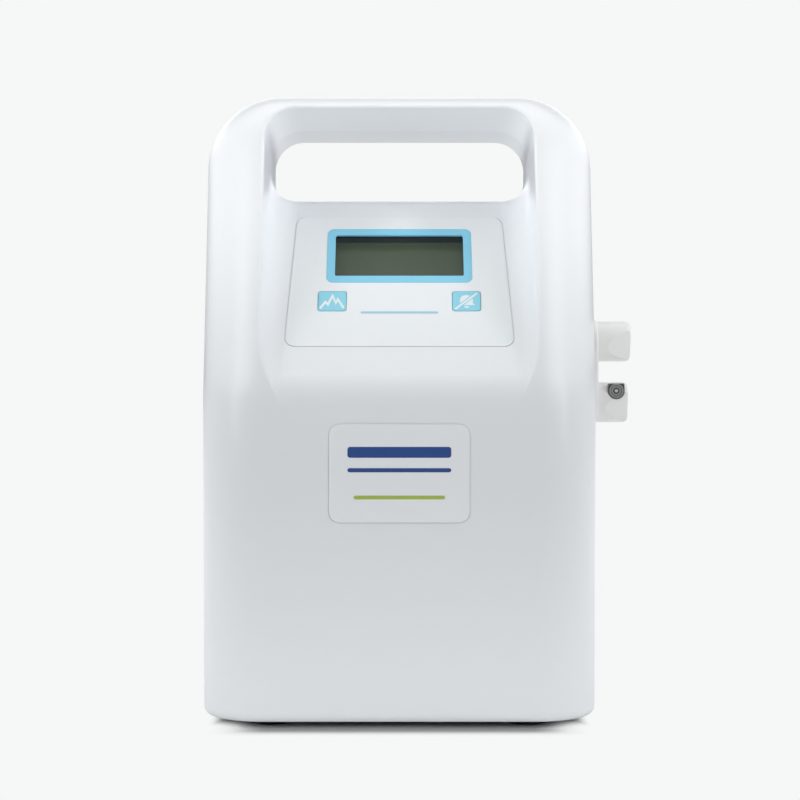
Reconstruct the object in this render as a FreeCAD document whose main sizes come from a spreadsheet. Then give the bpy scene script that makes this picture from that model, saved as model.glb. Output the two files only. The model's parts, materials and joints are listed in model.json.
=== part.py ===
import FreeCAD, Part
import math
import os
import Sketcher
from FreeCAD import Placement, Rotation, Vector

# Compression therapy pump: a two-part moulded casing with a carry handle in one
# piece with it, a sloping console with a display and two keys, two hose sockets on
# the right side, and the compressor, valves and electronics inside.
# Millimetres. +X is the user's right, +Y the back, +Z up. The origin is on the
# resting plane, under the middle of the casing.

doc = FreeCAD.newDocument("therapy_pump")
sheet = doc.addObject("Spreadsheet::Sheet", "dims")

DIMS = {
    # casing
    "foot_height": 2.4, "half_depth": 60.0, "casing_top": 298.9, "half_width_low": 92.4, "half_width_high": 93.6,
    "wall": 2.8, "bend_height": 156.0, "lean_angle": 15.0, "lean_bend_radius": 50.0,
    "crown_radius": 36.0, "front_radius": 30.0, "rear_radius": 12.0, "sole_radius": 4.2,
    "parting_depth": 30.0, "parting_step": 0.35,
    # console and hand slot
    "console_angle": 37.0, "console_bend_radius": 22.0, "slot_floor": 249.6, "slot_half_width": 64.2,
    "slot_roof_rear": 284.2, "slot_roof_rise": 5.2, "slot_corner": 15.0, "slot_lip_radius": 8.0,
    "console_side_low": 9.6, "console_side_high": 13.8, "slot_rim_radius": 2.0,
    # membrane overlay, measured along the slope from the bend line
    "overlay_low": 24.7, "overlay_high": 105.7, "overlay_half_low": 53.8, "overlay_half_high": 50.2,
    "overlay_corner": 5.0, "overlay_thick": 0.7, "overlay_seat": 0.45, "overlay_gap": 0.25,
    "frame_width": 70.0, "frame_height": 34.4, "frame_middle": 80.8, "frame_corner": 3.4, "frame_thick": 1.3,
    "view_width": 62.0, "view_height": 26.0, "window_thick": 1.2,
    "key_width": 13.4, "key_height": 12.1, "key_middle": 52.0, "key_spread": 31.9, "key_corner": 1.4,
    "key_thick": 1.1, "key_gap": 0.25, "key_travel": 0.6, "key_stem": 4.0, "key_stem_long": 3.35,
    # name plate
    "plate_width": 64.7, "plate_height": 45.3, "plate_middle": 117.0, "plate_corner": 5.0, "plate_thick": 0.8,
    "plate_seat": 0.4,
    # hose sockets
    "socket_y": -15.0, "upper_socket_z": 179.0, "lower_socket_z": 149.7, "upper_socket_reach": 110.7, "lower_socket_reach": 109.4,
    "socket_radius": 9.7, "socket_bore": 4.5, "socket_depth": 13.0, "barb_radius": 2.9, "neck_radius": 7.0,
    "port_plate_face": 94.9, "port_plate_seat": 92.2, "port_plate_width": 24.4, "port_plate_height": 50.2, "port_plate_corner": 12.0,
    "latch_radius": 3.85, "latch_travel": 1.0, "latch_x": 103.7, "latch_rise": 5.4,
    # compressor: the motor lies along X under the diaphragm head
    "pump_y": 8.0, "shaft_z": 46.0, "shaft_radius": 1.98, "throw": 1.2, "rod_x": 4.0, "can_radius": 18.0,
    "tube_radius": 4.2, "tube_bore": 3.0,
    # mains inlet and switch, on the back
    "inlet_x": -45.0, "inlet_z": 40.0, "rocker_x": -8.0, "rocker_z": 40.0, "rocker_tilt": 9.0,
    # feet
    "foot_radius": 11.0, "foot_well": 4.4, "foot_across": 59.5, "foot_front": 39.0, "foot_back": 41.0,
}


class Size:
    """A number together with the sheet formula that gives it."""

    def __init__(self, text, value):
        self.text, self.value = text, float(value)

    def __add__(self, other):
        other = size(other)
        return Size("(%s + %s)" % (self.text, other.text), self.value + other.value)

    def __sub__(self, other):
        other = size(other)
        return Size("(%s - %s)" % (self.text, other.text), self.value - other.value)

    def __mul__(self, other):
        other = size(other)
        return Size("(%s * %s)" % (self.text, other.text), self.value * other.value)

    def __truediv__(self, other):
        other = size(other)
        return Size("(%s / %s)" % (self.text, other.text), self.value / other.value)

    def __radd__(self, other):
        return size(other) + self

    def __rsub__(self, other):
        return size(other) - self

    def __rmul__(self, other):
        return size(other) * self

    def __rtruediv__(self, other):
        return size(other) / self

    def __neg__(self):
        return Size("(0 - %s)" % self.text, -self.value)


def size(x):
    return x if isinstance(x, Size) else Size("%.6g" % x if x >= 0 else "(0 - %.6g)" % -x, x)


def tan(x):
    return Size("tan(%s)" % size(x).text, math.tan(math.radians(size(x).value)))


def sin(x):
    return Size("sin(%s)" % size(x).text, math.sin(math.radians(size(x).value)))


def cos(x):
    return Size("cos(%s)" % size(x).text, math.cos(math.radians(size(x).value)))


class Sheet:
    def __getattr__(self, name):
        return Size("dims." + name, DIMS[name])


d = Sheet()
for row, (alias, number) in enumerate(DIMS.items(), 1):
    sheet.set("A%d" % row, alias)
    sheet.set("B%d" % row, "%.6g" % number)
    sheet.setAlias("B%d" % row, alias)
doc.recompute()


def cell(alias, value):
    """Keep one more driving number in the sheet."""
    row = len(DIMS) + 1
    DIMS[alias] = float(value)
    sheet.set("A%d" % row, alias)
    sheet.set("B%d" % row, "%.6g" % value)
    sheet.setAlias("B%d" % row, alias)
    return Size("dims." + alias, value)


def cells(name, **values):
    out = {k: v if isinstance(v, Size) else cell("%s_%s" % (name, k), v) for k, v in values.items()}
    sheet.recompute()
    return out


def bind(obj, prop, x):
    x = size(x)
    obj.setExpression(prop, x.text)


def put(obj, x=0, y=0, z=0, axis=None, angle=None):
    """Place an object, each coordinate bound to the sheet."""
    turn = Rotation(Vector(*axis), size(angle).value) if axis else Rotation()
    obj.Placement = Placement(Vector(size(x).value, size(y).value, size(z).value), turn)
    for name, v in (("x", x), ("y", y), ("z", z)):
        if isinstance(v, Size):
            bind(obj, "Placement.Base." + name, v)
    if axis and isinstance(angle, Size):
        bind(obj, "Placement.Rotation.Angle", angle)
    return obj


def on_console(obj):
    """Lay an object's own XY plane on the console, X across and Y up the slope."""
    return put(obj, 0, -d.half_depth, d.bend_height, (1, 0, 0), 90 - d.console_angle)


# ---------------------------------------------------------------- PartDesign helpers
def body(name):
    return doc.addObject("PartDesign::Body", name)


def sketch(b, role, name, offset=None):
    sk = b.newObject("Sketcher::SketchObject", name)
    origin = next(f for f in b.Origin.OriginFeatures if f.Role == role)
    sk.AttachmentSupport = (origin, [""])
    sk.MapMode = "FlatFace"
    if offset is not None:
        sk.AttachmentOffset = Placement(Vector(0, 0, size(offset).value), Rotation())
        bind(sk, "AttachmentOffset.Base.z", offset)
    return sk


def fix(sk, kind, geo, point, x):
    """Dimension one point of a sketch from the origin."""
    x = size(x)
    if abs(x.value) < 1e-9:
        axis = -2 if kind == "DistanceX" else -1
        sk.addConstraint(Sketcher.Constraint("PointOnObject", geo, point, axis))
        return
    i = sk.addConstraint(Sketcher.Constraint(kind, -1, 1, geo, point, x.value))
    sk.setExpression("Constraints[%d]" % i, x.text)


def polygon(sk, points):
    points = [(size(x), size(y)) for x, y in points]
    first = sk.GeometryCount
    n = len(points)
    for i in range(n):
        (ax, ay), (bx, by) = points[i], points[(i + 1) % n]
        sk.addGeometry(Part.LineSegment(Vector(ax.value, ay.value, 0), Vector(bx.value, by.value, 0)), False)
    for i in range(n):
        sk.addConstraint(Sketcher.Constraint("Coincident", first + i, 2, first + (i + 1) % n, 1))
    for i, (x, y) in enumerate(points):
        fix(sk, "DistanceX", first + i, 1, x)
        fix(sk, "DistanceY", first + i, 1, y)
    return sk


def rectangle(sk, x, y, w, h):
    """A rectangle by its middle."""
    x, y, w, h = map(size, (x, y, w, h))
    return polygon(sk, [(x - w / 2, y - h / 2), (x + w / 2, y - h / 2), (x + w / 2, y + h / 2), (x - w / 2, y + h / 2)])


def circle(sk, x, y, r):
    x, y, r = map(size, (x, y, r))
    g = sk.addGeometry(Part.Circle(Vector(x.value, y.value, 0), Vector(0, 0, 1), r.value), False)
    fix(sk, "DistanceX", g, 3, x)
    fix(sk, "DistanceY", g, 3, y)
    i = sk.addConstraint(Sketcher.Constraint("Radius", g, r.value))
    sk.setExpression("Constraints[%d]" % i, r.text)
    return sk


def pad(b, sk, length, both=False, back=False):
    f = b.newObject("PartDesign::Pad", sk.Name + "_pad")
    f.Profile = sk
    f.Length = size(length).value
    bind(f, "Length", length)
    f.Midplane = both
    f.Reversed = back
    doc.recompute()
    return f


def pocket(b, sk, length=None, both=False, back=False):
    f = b.newObject("PartDesign::Pocket", sk.Name + "_pocket")
    f.Profile = sk
    if length is None:
        f.Type = "ThroughAll"
    else:
        f.Length = size(length).value
        bind(f, "Length", length)
    f.Midplane = both
    f.Reversed = back
    before = b.Tip.Shape.Volume if b.Tip and b.Tip != f else None
    doc.recompute()
    return f


def edges(shape, pick):
    names = []
    for i, e in enumerate(shape.Edges, 1):
        a, z = e.ParameterRange
        pts = [e.valueAt(a + (z - a) * k / 4.0) for k in range(5)]
        if pick(pts, e):
            names.append("Edge%d" % i)
    return names


def fillet(b, r, pick, kind="PartDesign::Fillet"):
    doc.recompute()
    base = b.Tip
    names = edges(base.Shape, pick)
    if not names:
        raise RuntimeError("no edge to round on " + b.Name)
    f = b.newObject(kind, "%s_round%d" % (b.Name, len(b.Group)))
    f.Base = (base, names)
    prop = "Radius" if kind.endswith("Fillet") else "Size"
    setattr(f, prop, size(r).value)
    bind(f, prop, r)
    doc.recompute()
    return f


def near(a, b, tol=0.02):
    return abs(a - b) < tol


def along(axis, pts, tol=0.01):
    """Do the points run along one axis only?"""
    spans = [max(getattr(p, c) for p in pts) - min(getattr(p, c) for p in pts) for c in "xyz"]
    i = "xyz".index(axis)
    return spans[i] > tol and all(s < tol for j, s in enumerate(spans) if j != i)


# ---------------------------------------------------------------- casing blocks
def casing_block(name, g):
    """The casing's outer form set in by g: drafted sides, a front that leans back
    above the bend, rounded all over."""
    g = size(g)
    b = body(name)
    low, high, top, floor = d.half_width_low - g, d.half_width_high - g, d.casing_top - g, d.foot_height + g
    sk = polygon(sketch(b, "XZ_Plane", name + "_front"), [(-low, floor), (low, floor), (high, top), (-high, top)])
    pad(b, sk, (d.half_depth - g) * 2, both=True)
    fillet(b, d.crown_radius - g, lambda p, e: along("y", p) and near(p[0].z, top.value))
    face = -d.half_depth + g
    bend = d.bend_height - g * tan(d.lean_angle / 2)
    over = 30.0
    sk = polygon(sketch(b, "YZ_Plane", name + "_lean"), [
        (face, bend), (face + (top + over - bend) * tan(d.lean_angle), top + over), (face - 40, top + over), (face - 40, bend)])
    pocket(b, sk, both=True)
    fillet(b, d.lean_bend_radius - g, lambda p, e: along("x", p) and near(p[0].y, face.value) and near(p[0].z, bend.value))
    fillet(b, d.front_radius - g, lambda p, e: all(near(q.y, face.value) for q in p) and abs(p[0].x) > 60 and p[0].z != p[4].z
           and abs(p[0].x - p[4].x) < 2)
    fillet(b, d.rear_radius - g, lambda p, e: all(near(q.y, -face.value) for q in p) and abs(p[2].x) > 60 and abs(p[2].z - 100) < 90)
    fillet(b, d.sole_radius - g, lambda p, e: along("x", p) and near(p[0].z, floor.value) and p[0].y < 0)
    return b


def hand_core(name, g):
    """The space in front of the console and through the hand slot, grown by g."""
    g = size(g)
    b = body(name)
    face, fl = -d.half_depth, d.slot_floor - g
    slope = tan(d.console_angle)

    def on_slope(z):
        return face + (z - d.bend_height) * slope + g / cos(d.console_angle)

    def roof(y):
        return d.slot_roof_rear + (d.half_depth - y) * tan(d.slot_roof_rise) + g

    ahead, behind = size(-90), size(90)
    foot = face + g
    bend = d.bend_height - g * tan(d.console_angle / 2)
    toe = bend - (d.console_bend_radius - g) * tan(d.console_angle / 2) - 3
    sk = polygon(sketch(b, "YZ_Plane", name + "_side"), [
        (ahead, toe), (foot, toe), (foot, bend), (on_slope(fl), fl), (behind, fl), (behind, roof(behind)), (ahead, roof(ahead))])
    pad(b, sk, (d.slot_half_width + g) * 2, both=True)
    fillet(b, d.console_bend_radius - g, lambda p, e: along("x", p) and near(p[0].y, foot.value) and near(p[0].z, bend.value))
    fillet(b, d.slot_lip_radius - g, lambda p, e: along("x", p) and near(p[0].y, on_slope(fl).value) and near(p[0].z, fl.value))
    fillet(b, d.slot_corner + g, lambda p, e: abs(p[0].y - p[4].y) > 100 and p[2].z > (fl.value + 10))
    return b


def hand_space(name, g):
    """The hand space with its floor corners rounded, wider towards the top of the console."""
    g = size(g)
    b = hand_core(name + "_core", g)
    f = doc.addObject("Part::Fillet", name)
    f.Base = b
    low, high = (d.console_side_low + g).value, (d.console_side_high + g).value
    chain = []
    for i, e in enumerate(b.Shape.Edges, 1):
        a, z = e.ParameterRange
        p, q, m = e.valueAt(a), e.valueAt(z), e.valueAt((a + z) / 2)
        if not (near(abs(p.x), (d.slot_half_width + g).value) and near(p.x, q.x) and near(p.x, m.x)):
            continue
        if max(p.z, q.z) > d.slot_floor.value + 2 or (near(p.z, q.z) and p.z < 200) or near(p.y, q.y) and abs(p.y) > 80:
            continue
        def r(v):
            k = (v.z - 164) / (236 - 164)
            return low + (high - low) * min(1.0, max(0.0, k))
        chain.append((i, r(p), r(q)))
    f.Edges = chain
    doc.recompute()
    return f



# ---------------------------------------------------------------- primitives and joins
def box(name, x, y, z, wide, deep, high):
    c = cells(name, x=x, y=y, z=z, wide=wide, deep=deep, high=high)
    o = doc.addObject("Part::Box", name)
    bind(o, "Length", c["wide"])
    bind(o, "Width", c["deep"])
    bind(o, "Height", c["high"])
    return put(o, c["x"], c["y"], c["z"])


def tilt(obj, at, normal, size_x, size_y):
    """Turn a box so that the middle of its own floor sits at a point and its Z runs along a normal."""
    for way in "xyz":
        obj.setExpression("Placement.Base." + way, None)
    turn = Rotation(Vector(0, 0, 1), normal)
    obj.Placement = Placement(at - turn.multVec(Vector(size_x / 2, size_y / 2, 0.0)), turn)
    return obj


def rod(name, r, long, x, y, z, axis="z"):
    """A cylinder starting at a point and running along +X, +Y or +Z."""
    c = cells(name, x=x, y=y, z=z, radius=r, long=long)
    o = doc.addObject("Part::Cylinder", name)
    bind(o, "Radius", c["radius"])
    bind(o, "Height", c["long"])
    put(o, c["x"], c["y"], c["z"])
    turn = {"z": Rotation(), "x": Rotation(Vector(0, 1, 0), 90), "y": Rotation(Vector(1, 0, 0), -90)}[axis]
    o.Placement = Placement(o.Placement.Base, turn)
    return o


def fuse(name, *parts):
    if len(parts) == 1:
        return parts[0]
    o = doc.addObject("Part::MultiFuse", name)
    o.Shapes = list(parts)
    return o


def group(name, *parts):
    o = doc.addObject("Part::Compound", name)
    o.Links = list(parts)
    return o


def cut(name, base, *tools):
    o = doc.addObject("Part::Cut", name)
    o.Base = base
    o.Tool = fuse(name + "_tools", *tools)
    return o


def common(name, base, tool):
    o = doc.addObject("Part::Common", name)
    o.Base, o.Tool = base, tool
    return o


def ring(name, r, bore, long, x, y, z, axis="z"):
    return cut(name, rod(name + "_outside", r, long, x, y, z, axis), rod(name + "_bore", bore, long, x, y, z, axis))


NODES = {}


def node(name, obj):
    obj.Label = name
    NODES[name] = obj
    return obj


def plate_body(name, role, offset, points, thick, corner, edge=0.0):
    """A flat plate: a polygon padded, its corners rounded and its front edge eased."""
    b = body(name)
    sk = polygon(sketch(b, role, name + "_outline", offset), points)
    pad(b, sk, thick)
    axis = {"XY_Plane": "z", "XZ_Plane": "y", "YZ_Plane": "x"}[role]
    if size(corner).value > 0:
        fillet(b, corner, lambda p, e: along(axis, p))
    return b


def tube(name, points, radii, outside, inside=0.0):
    """A tube along straight runs joined by tangent arcs."""
    pts = [Vector(*p) for p in points]
    parts, at = [], pts[0]
    length = 0.0
    for i in range(1, len(pts) - 1):
        u = (pts[i] - pts[i - 1]).normalize()
        v = (pts[i + 1] - pts[i]).normalize()
        turn = u.getAngle(v)
        r = radii[i - 1]
        run = r * math.tan(turn / 2)
        p, q = pts[i] - u * run, pts[i] + v * run
        mid_dir = (v - u).normalize()
        centre = pts[i] + mid_dir * (r / math.cos(turn / 2))
        m = centre - mid_dir * r
        if (p - at).Length > 1e-6:
            parts.append(Part.LineSegment(at, p).toShape())
            length += (p - at).Length
        parts.append(Part.Arc(p, m, q).toShape())
        length += r * turn
        at = q
    parts.append(Part.LineSegment(at, pts[-1]).toShape())
    length += (pts[-1] - at).Length
    path = Part.Wire(parts)
    start, along_ = pts[0], (pts[1] - pts[0]).normalize()

    def sweep(r):
        return path.makePipeShell([Part.Wire([Part.Circle(start, along_, r).toShape()])], True, False)

    shape = sweep(outside)
    if inside:
        shape = shape.cut(sweep(inside))
    area = math.pi * (outside ** 2 - inside ** 2)
    print("%s: length %.1f, bends %s, volume %.1f of %.1f" % (name, length, radii, shape.Volume, area * length))
    if abs(shape.Volume / (area * length) - 1) > 0.01:
        raise RuntimeError("tube " + name + " has the wrong volume")
    return shape


def made(name, shape):
    o = doc.addObject("Part::Feature", name)
    o.Shape = shape
    o.Placement = Placement(Vector(0, 0, 0), Rotation())
    return o


def both_sides(make):
    return [make("l", -1), make("r", 1)]


# ---------------------------------------------------------------- shared lines
face = -d.half_depth
gap = d.overlay_gap
mid_z = (d.upper_socket_z + d.lower_socket_z) / 2


def port_outline(grow):
    w, h2 = d.port_plate_width / 2 + grow, d.port_plate_height / 2 + grow
    return [(d.socket_y - w, mid_z - h2), (d.socket_y + w, mid_z - h2), (d.socket_y + w, mid_z + h2), (d.socket_y - w, mid_z + h2)]


foot_at = [(-d.foot_across, -d.foot_front), (d.foot_across, -d.foot_front), (-d.foot_across, d.foot_back), (d.foot_across, d.foot_back)]

# ---------------------------------------------------------------- console
ol, oh = d.overlay_half_low, d.overlay_half_high
film = plate_body("overlay_film", "XY_Plane", -d.overlay_seat, [
    (-ol, d.overlay_low), (ol, d.overlay_low), (oh, d.overlay_high), (-oh, d.overlay_high)], d.overlay_thick, d.overlay_corner)
fw, fh = d.frame_width, d.frame_height
frame_hole = plate_body("frame_hole_form", "XY_Plane", -2.0, [
    (-fw / 2 - 0.08, d.frame_middle - fh / 2 - 0.08), (fw / 2 + 0.08, d.frame_middle - fh / 2 - 0.08),
    (fw / 2 + 0.08, d.frame_middle + fh / 2 + 0.08), (-fw / 2 - 0.08, d.frame_middle + fh / 2 + 0.08)], 5.0, d.frame_corner + 0.08)
key_holes = []
for side, k in (("l", -1), ("r", 1)):
    w, h2, kx = d.key_width / 2 + d.key_gap, d.key_height / 2 + d.key_gap, k * d.key_spread
    key_holes.append(plate_body("key_slot_form_" + side, "XY_Plane", -2.0, [
        (kx - w, d.key_middle - h2), (kx + w, d.key_middle - h2), (kx + w, d.key_middle + h2), (kx - w, d.key_middle + h2)],
        5.0, d.key_corner + d.key_gap))
node("membrane_overlay", on_console(cut("membrane_overlay", film, frame_hole, *key_holes)))

frame_plate = plate_body("frame_plate", "XY_Plane", -d.overlay_seat, [
    (-fw / 2, d.frame_middle - fh / 2), (fw / 2, d.frame_middle - fh / 2), (fw / 2, d.frame_middle + fh / 2), (-fw / 2, d.frame_middle + fh / 2)],
    0.85, d.frame_corner)
fillet(frame_plate, 0.3, lambda p, e: all(q.z > 0.39 for q in p))
vw, vh = d.view_width, d.view_height
frame_view = plate_body("frame_view_form", "XY_Plane", -3.0, [
    (-vw / 2, d.frame_middle - vh / 2), (vw / 2, d.frame_middle - vh / 2), (vw / 2, d.frame_middle + vh / 2), (-vw / 2, d.frame_middle + vh / 2)],
    6.0, 0.8)
node("display_frame", on_console(cut("display_frame", frame_plate, frame_view)))
ww, wh, wm = cell("window_width", 65.4), cell("window_height", 29.4), d.frame_middle
gw, gh = cell("glass_width", 70.0), cell("glass_height", 32.4)
sheet.recompute()
node("display_window", on_console(plate_body("display_window", "XY_Plane", -1.65, [
    (-ww / 2, wm - wh / 2), (ww / 2, wm - wh / 2), (ww / 2, wm + wh / 2), (-ww / 2, wm + wh / 2)], d.window_thick, 0.6)))
node("lcd_shroud", on_console(cut("lcd_shroud", fuse("lcd_shroud_solid", box("lcd_collar", -32.7, 66.1, -5.2, 65.4, 29.4, 3.5),
                                                    box("lcd_flange", -40.0, 62.5, -5.2, 80.0, 36.6, 2.2)),
                                  box("lcd_collar_view", -31.2, 67.6, -7.0, 62.4, 26.4, 8.0),
                                  *[rod("lcd_post_room_%d" % i, 3.0, 8.0, x, y, -8.0) for i, (x, y) in enumerate([(-43, 66.5), (43, 66.5), (-43, 94.5), (43, 94.5)])])))
node("lcd_glass", on_console(plate_body("lcd_glass", "XY_Plane", -6.5, [
    (-gw / 2, wm - gh / 2), (gw / 2, wm - gh / 2), (gw / 2, wm + gh / 2), (-gw / 2, wm + gh / 2)], 1.2, 0.3)))
lcd_holes = [rod("lcd_board_hole_%d" % i, 1.4, 6.0, x, y, -10.0) for i, (x, y) in enumerate([(-43, 66.5), (43, 66.5), (-43, 94.5), (43, 94.5)])]
lcd_board = cut("lcd_board", box("lcd_board_blank", -46.5, 62.4, -8.3, 93.0, 36.4, 1.6), *lcd_holes)
pad_holes = [rod("keypad_hole_%d" % i, 1.4, 6.0, x, 52.0, -10.0) for i, x in enumerate([-40, 40])]
keypad_board = cut("keypad_board", box("keypad_blank", -44.0, 44.0, -9.0, 88.0, 16.0, 1.6), *pad_holes)
node("console_boards", on_console(group("console_boards", lcd_board, keypad_board)))
switches = []
for side, k in (("l", -1), ("r", 1)):
    switches.append(fuse("tact_" + side, box("tact_base_" + side, k * d.key_spread - 3.0, d.key_middle - 3.0, -7.4, 6.0, 6.0, 2.0),
                         rod("tact_tip_" + side, 1.75, 0.95, k * d.key_spread, d.key_middle, -5.4)))
node("tactile_switches", on_console(group("tactile_switches", *switches)))

for name, k in (("mode_key", -1), ("alarm_key", 1)):
    kx, w, h2 = k * d.key_spread, d.key_width / 2, d.key_height / 2
    b = plate_body(name + "_body", "XY_Plane", -0.65, [
        (kx - w, d.key_middle - h2), (kx + w, d.key_middle - h2), (kx + w, d.key_middle + h2), (kx - w, d.key_middle + h2)], d.key_thick, d.key_corner)
    fillet(b, 0.3, lambda p, e: all(q.z > 0.44 for q in p))
    stem = circle(sketch(b, "XY_Plane", name + "_stem", -0.4), kx, d.key_middle, d.key_stem / 2)
    pad(b, stem, d.key_stem_long, back=True)
    node(name, on_console(b))

# ---------------------------------------------------------------- front label plate
label = plate_body("name_plate", "XZ_Plane", -face - d.plate_seat, [
    (-d.plate_width / 2, d.plate_middle - d.plate_height / 2), (d.plate_width / 2, d.plate_middle - d.plate_height / 2),
    (d.plate_width / 2, d.plate_middle + d.plate_height / 2), (-d.plate_width / 2, d.plate_middle + d.plate_height / 2)],
    d.plate_thick, d.plate_corner)
fillet(label, 0.25, lambda p, e: all(near(q.y, -60.4, 0.005) for q in p))
node("name_plate", label)

# ---------------------------------------------------------------- feet
feet, foot_screws = [], []
for i, (fx, fy) in enumerate(foot_at):
    b = body("foot_%d" % i)
    pad(b, circle(sketch(b, "XY_Plane", "foot_%d_disc" % i), fx, fy, d.foot_radius), d.foot_height)
    fillet(b, 0.8, lambda p, e: near(p[0].z, 0) and near(p[2].z, 0), "PartDesign::Chamfer")
    pocket(b, circle(sketch(b, "XY_Plane", "foot_%d_well" % i), fx, fy, d.foot_well), 1.6, back=True)
    pocket(b, circle(sketch(b, "XY_Plane", "foot_%d_hole" % i), fx, fy, 1.9), both=True)
    feet.append(b)
    foot_screws.append(cut("foot_screw_%d" % i, fuse("foot_screw_%d_solid" % i, rod("foot_screw_%d_head" % i, 3.6, 1.2, fx, fy, 0.4),
                                                     rod("foot_screw_%d_shank" % i, 1.6, 8.4, fx, fy, 1.6)),
                           box("foot_screw_%d_slot_a" % i, fx - 2.0, fy - 0.45, 0.0, 4.0, 0.9, 1.0),
                           box("foot_screw_%d_slot_b" % i, fx - 0.45, fy - 2.0, 0.0, 0.9, 4.0, 1.0)))
node("base_feet", group("base_feet", *feet))

# ---------------------------------------------------------------- hose sockets
b = plate_body("port_plate_body", "YZ_Plane", d.port_plate_seat, port_outline(size(0)), d.port_plate_face - d.port_plate_seat, d.port_plate_corner)
fillet(b, 0.9, lambda p, e: all(near(q.x, d.port_plate_face.value, 0.005) for q in p))
node("port_plate", cut("port_plate", b, *[rod(n + "_plate_hole", d.neck_radius + 0.1, 10.0, 88.0, d.socket_y, z, "x")
                                          for n, z in (("upper", d.upper_socket_z), ("lower", d.lower_socket_z))]))
nuts, rings = [], []
for n, z, reach, facing in (("upper", d.upper_socket_z, d.upper_socket_reach, 1), ("lower", d.lower_socket_z, d.lower_socket_reach, -1)):
    b = body(n + "_socket_body")
    r, x0 = d.socket_radius, d.port_plate_face + 0.05
    sk = polygon(sketch(b, "XY_Plane", n + "_socket_profile"), [
        (78, 1.5), (78, 2.9), (79.2, 2.96), (80.4, 2.9), (86, 2.9), (86, d.neck_radius), (x0, d.neck_radius), (x0, r),
        (reach - 1.6, r), (reach - 0.4, r - 0.5), (reach, r - 1.3), (reach, d.socket_bore), (reach - d.socket_depth, d.socket_bore), (reach - d.socket_depth, 3.5),
        (reach - d.socket_depth - 1.7, 3.5), (reach - d.socket_depth - 1.7, 1.5)])
    f = b.newObject("PartDesign::Revolution", n + "_socket_turn")
    f.Profile = sk
    f.ReferenceAxis = (sk, ["H_Axis"])
    f.Angle = 360
    doc.recompute()
    put(b, 0, d.socket_y, z)
    # the latch well, the thumb relief on the front and a tapered lower corner
    lr, lz = d.latch_radius, z + d.latch_rise
    well_y = d.socket_y + (5.3 if facing > 0 else -17.3)
    cuts = [rod(n + "_latch_well", lr + 0.25, 12.0, d.latch_x, well_y, lz, "y"),
            box(n + "_latch_slot", d.latch_x - lr - 0.25, well_y, lz, lr * 2 + 0.5, 12.0, 8.0)]
    for tag, normal, away in (("relief", Vector(0.305, -0.906, -0.294), 5.9), ("taper", Vector(0.68, -0.25, -0.69), 6.6 if facing > 0 else 7.6)):
        normal = normal.normalize()
        cuts.append(tilt(box(n + "_" + tag, 0.0, 0.0, 0.0, 28.0, 28.0, 10.0), Vector(reach.value, d.socket_y.value, z.value) + normal * away, normal, 28.0, 28.0))
    node(n + "_hose_socket", cut(n + "_hose_socket", b, *cuts))
    inner_y = d.socket_y + facing * 6.55
    low_y = inner_y if facing > 0 else inner_y - 2.7
    disc = fuse(n + "_latch_blank", rod(n + "_latch_disc", lr, 2.7, d.latch_x, low_y, lz, "y"),
                box(n + "_latch_shoulder", d.latch_x - lr, low_y, lz, lr * 2, 2.7, 5.0))
    dish = rod(n + "_latch_dish", 2.5, 1.0, d.latch_x, inner_y + facing * 2.2 - (0 if facing > 0 else 1.0), lz, "y")
    dot = rod(n + "_latch_dot", 1.0, 0.45, d.latch_x, inner_y + facing * 2.2 - (0 if facing > 0 else 0.45), lz, "y")
    trim = box(n + "_latch_trim", 96.0, d.socket_y - 20, lz + 3.5, 18.0, 40.0, 4.0)
    node(n + "_latch", fuse(n + "_latch", cut(n + "_latch_button", disc, dish, trim), dot))
    nut = doc.addObject("Part::Prism", n + "_nut_blank")
    nut.Polygon = 6
    cells(n + "_nut", across=10.6, thick=3.4)
    bind(nut, "Circumradius", Size("dims.%s_nut_across" % n, 10.6))
    bind(nut, "Height", Size("dims.%s_nut_thick" % n, 3.4))
    put(nut, 86.6, d.socket_y, z)
    nut.Placement = Placement(Vector(86.6, d.socket_y.value, z.value), Rotation(Vector(0, 1, 0), 90))
    nuts.append(cut(n + "_nut_ring", nut, rod(n + "_nut_bore", d.neck_radius + 0.03, 6.0, 85.5, d.socket_y, z, "x")))
    torus = doc.addObject("Part::Torus", n + "_seal")
    cells(n + "_seal", middle=2.65, thick=0.8)
    bind(torus, "Radius1", Size("dims.%s_seal_middle" % n, 2.65))
    bind(torus, "Radius2", Size("dims.%s_seal_thick" % n, 0.8))
    put(torus, (reach - d.socket_depth).value - 0.85, d.socket_y, z)
    torus.Placement = Placement(Vector((reach - d.socket_depth).value - 0.85, d.socket_y.value, z.value), Rotation(Vector(0, 1, 0), 90))
    rings.append(torus)
node("socket_nuts", group("socket_nuts", *nuts))
node("socket_seals", group("socket_seals", *rings))

# ---------------------------------------------------------------- mains inlet, fuse drawer and switch
def rocker_face(tag, k):
    """One of the two flats of the rocker's front, 9 degrees off square."""
    o = box("rocker_flat_" + tag, -7.0, 0.0, -12.0 if k < 0 else 0.0, 14.0, 12.0, 12.0)
    turn = Rotation(Vector(1, 0, 0), -9.0 * k)
    for way in "xyz":
        o.setExpression("Placement.Base." + way, None)
    o.Placement = Placement(Vector(-7.0, 4.4, 0.0) + turn.multVec(Vector(0, 0, -12.0 if k < 0 else 0.0)), turn)
    return o


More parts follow.
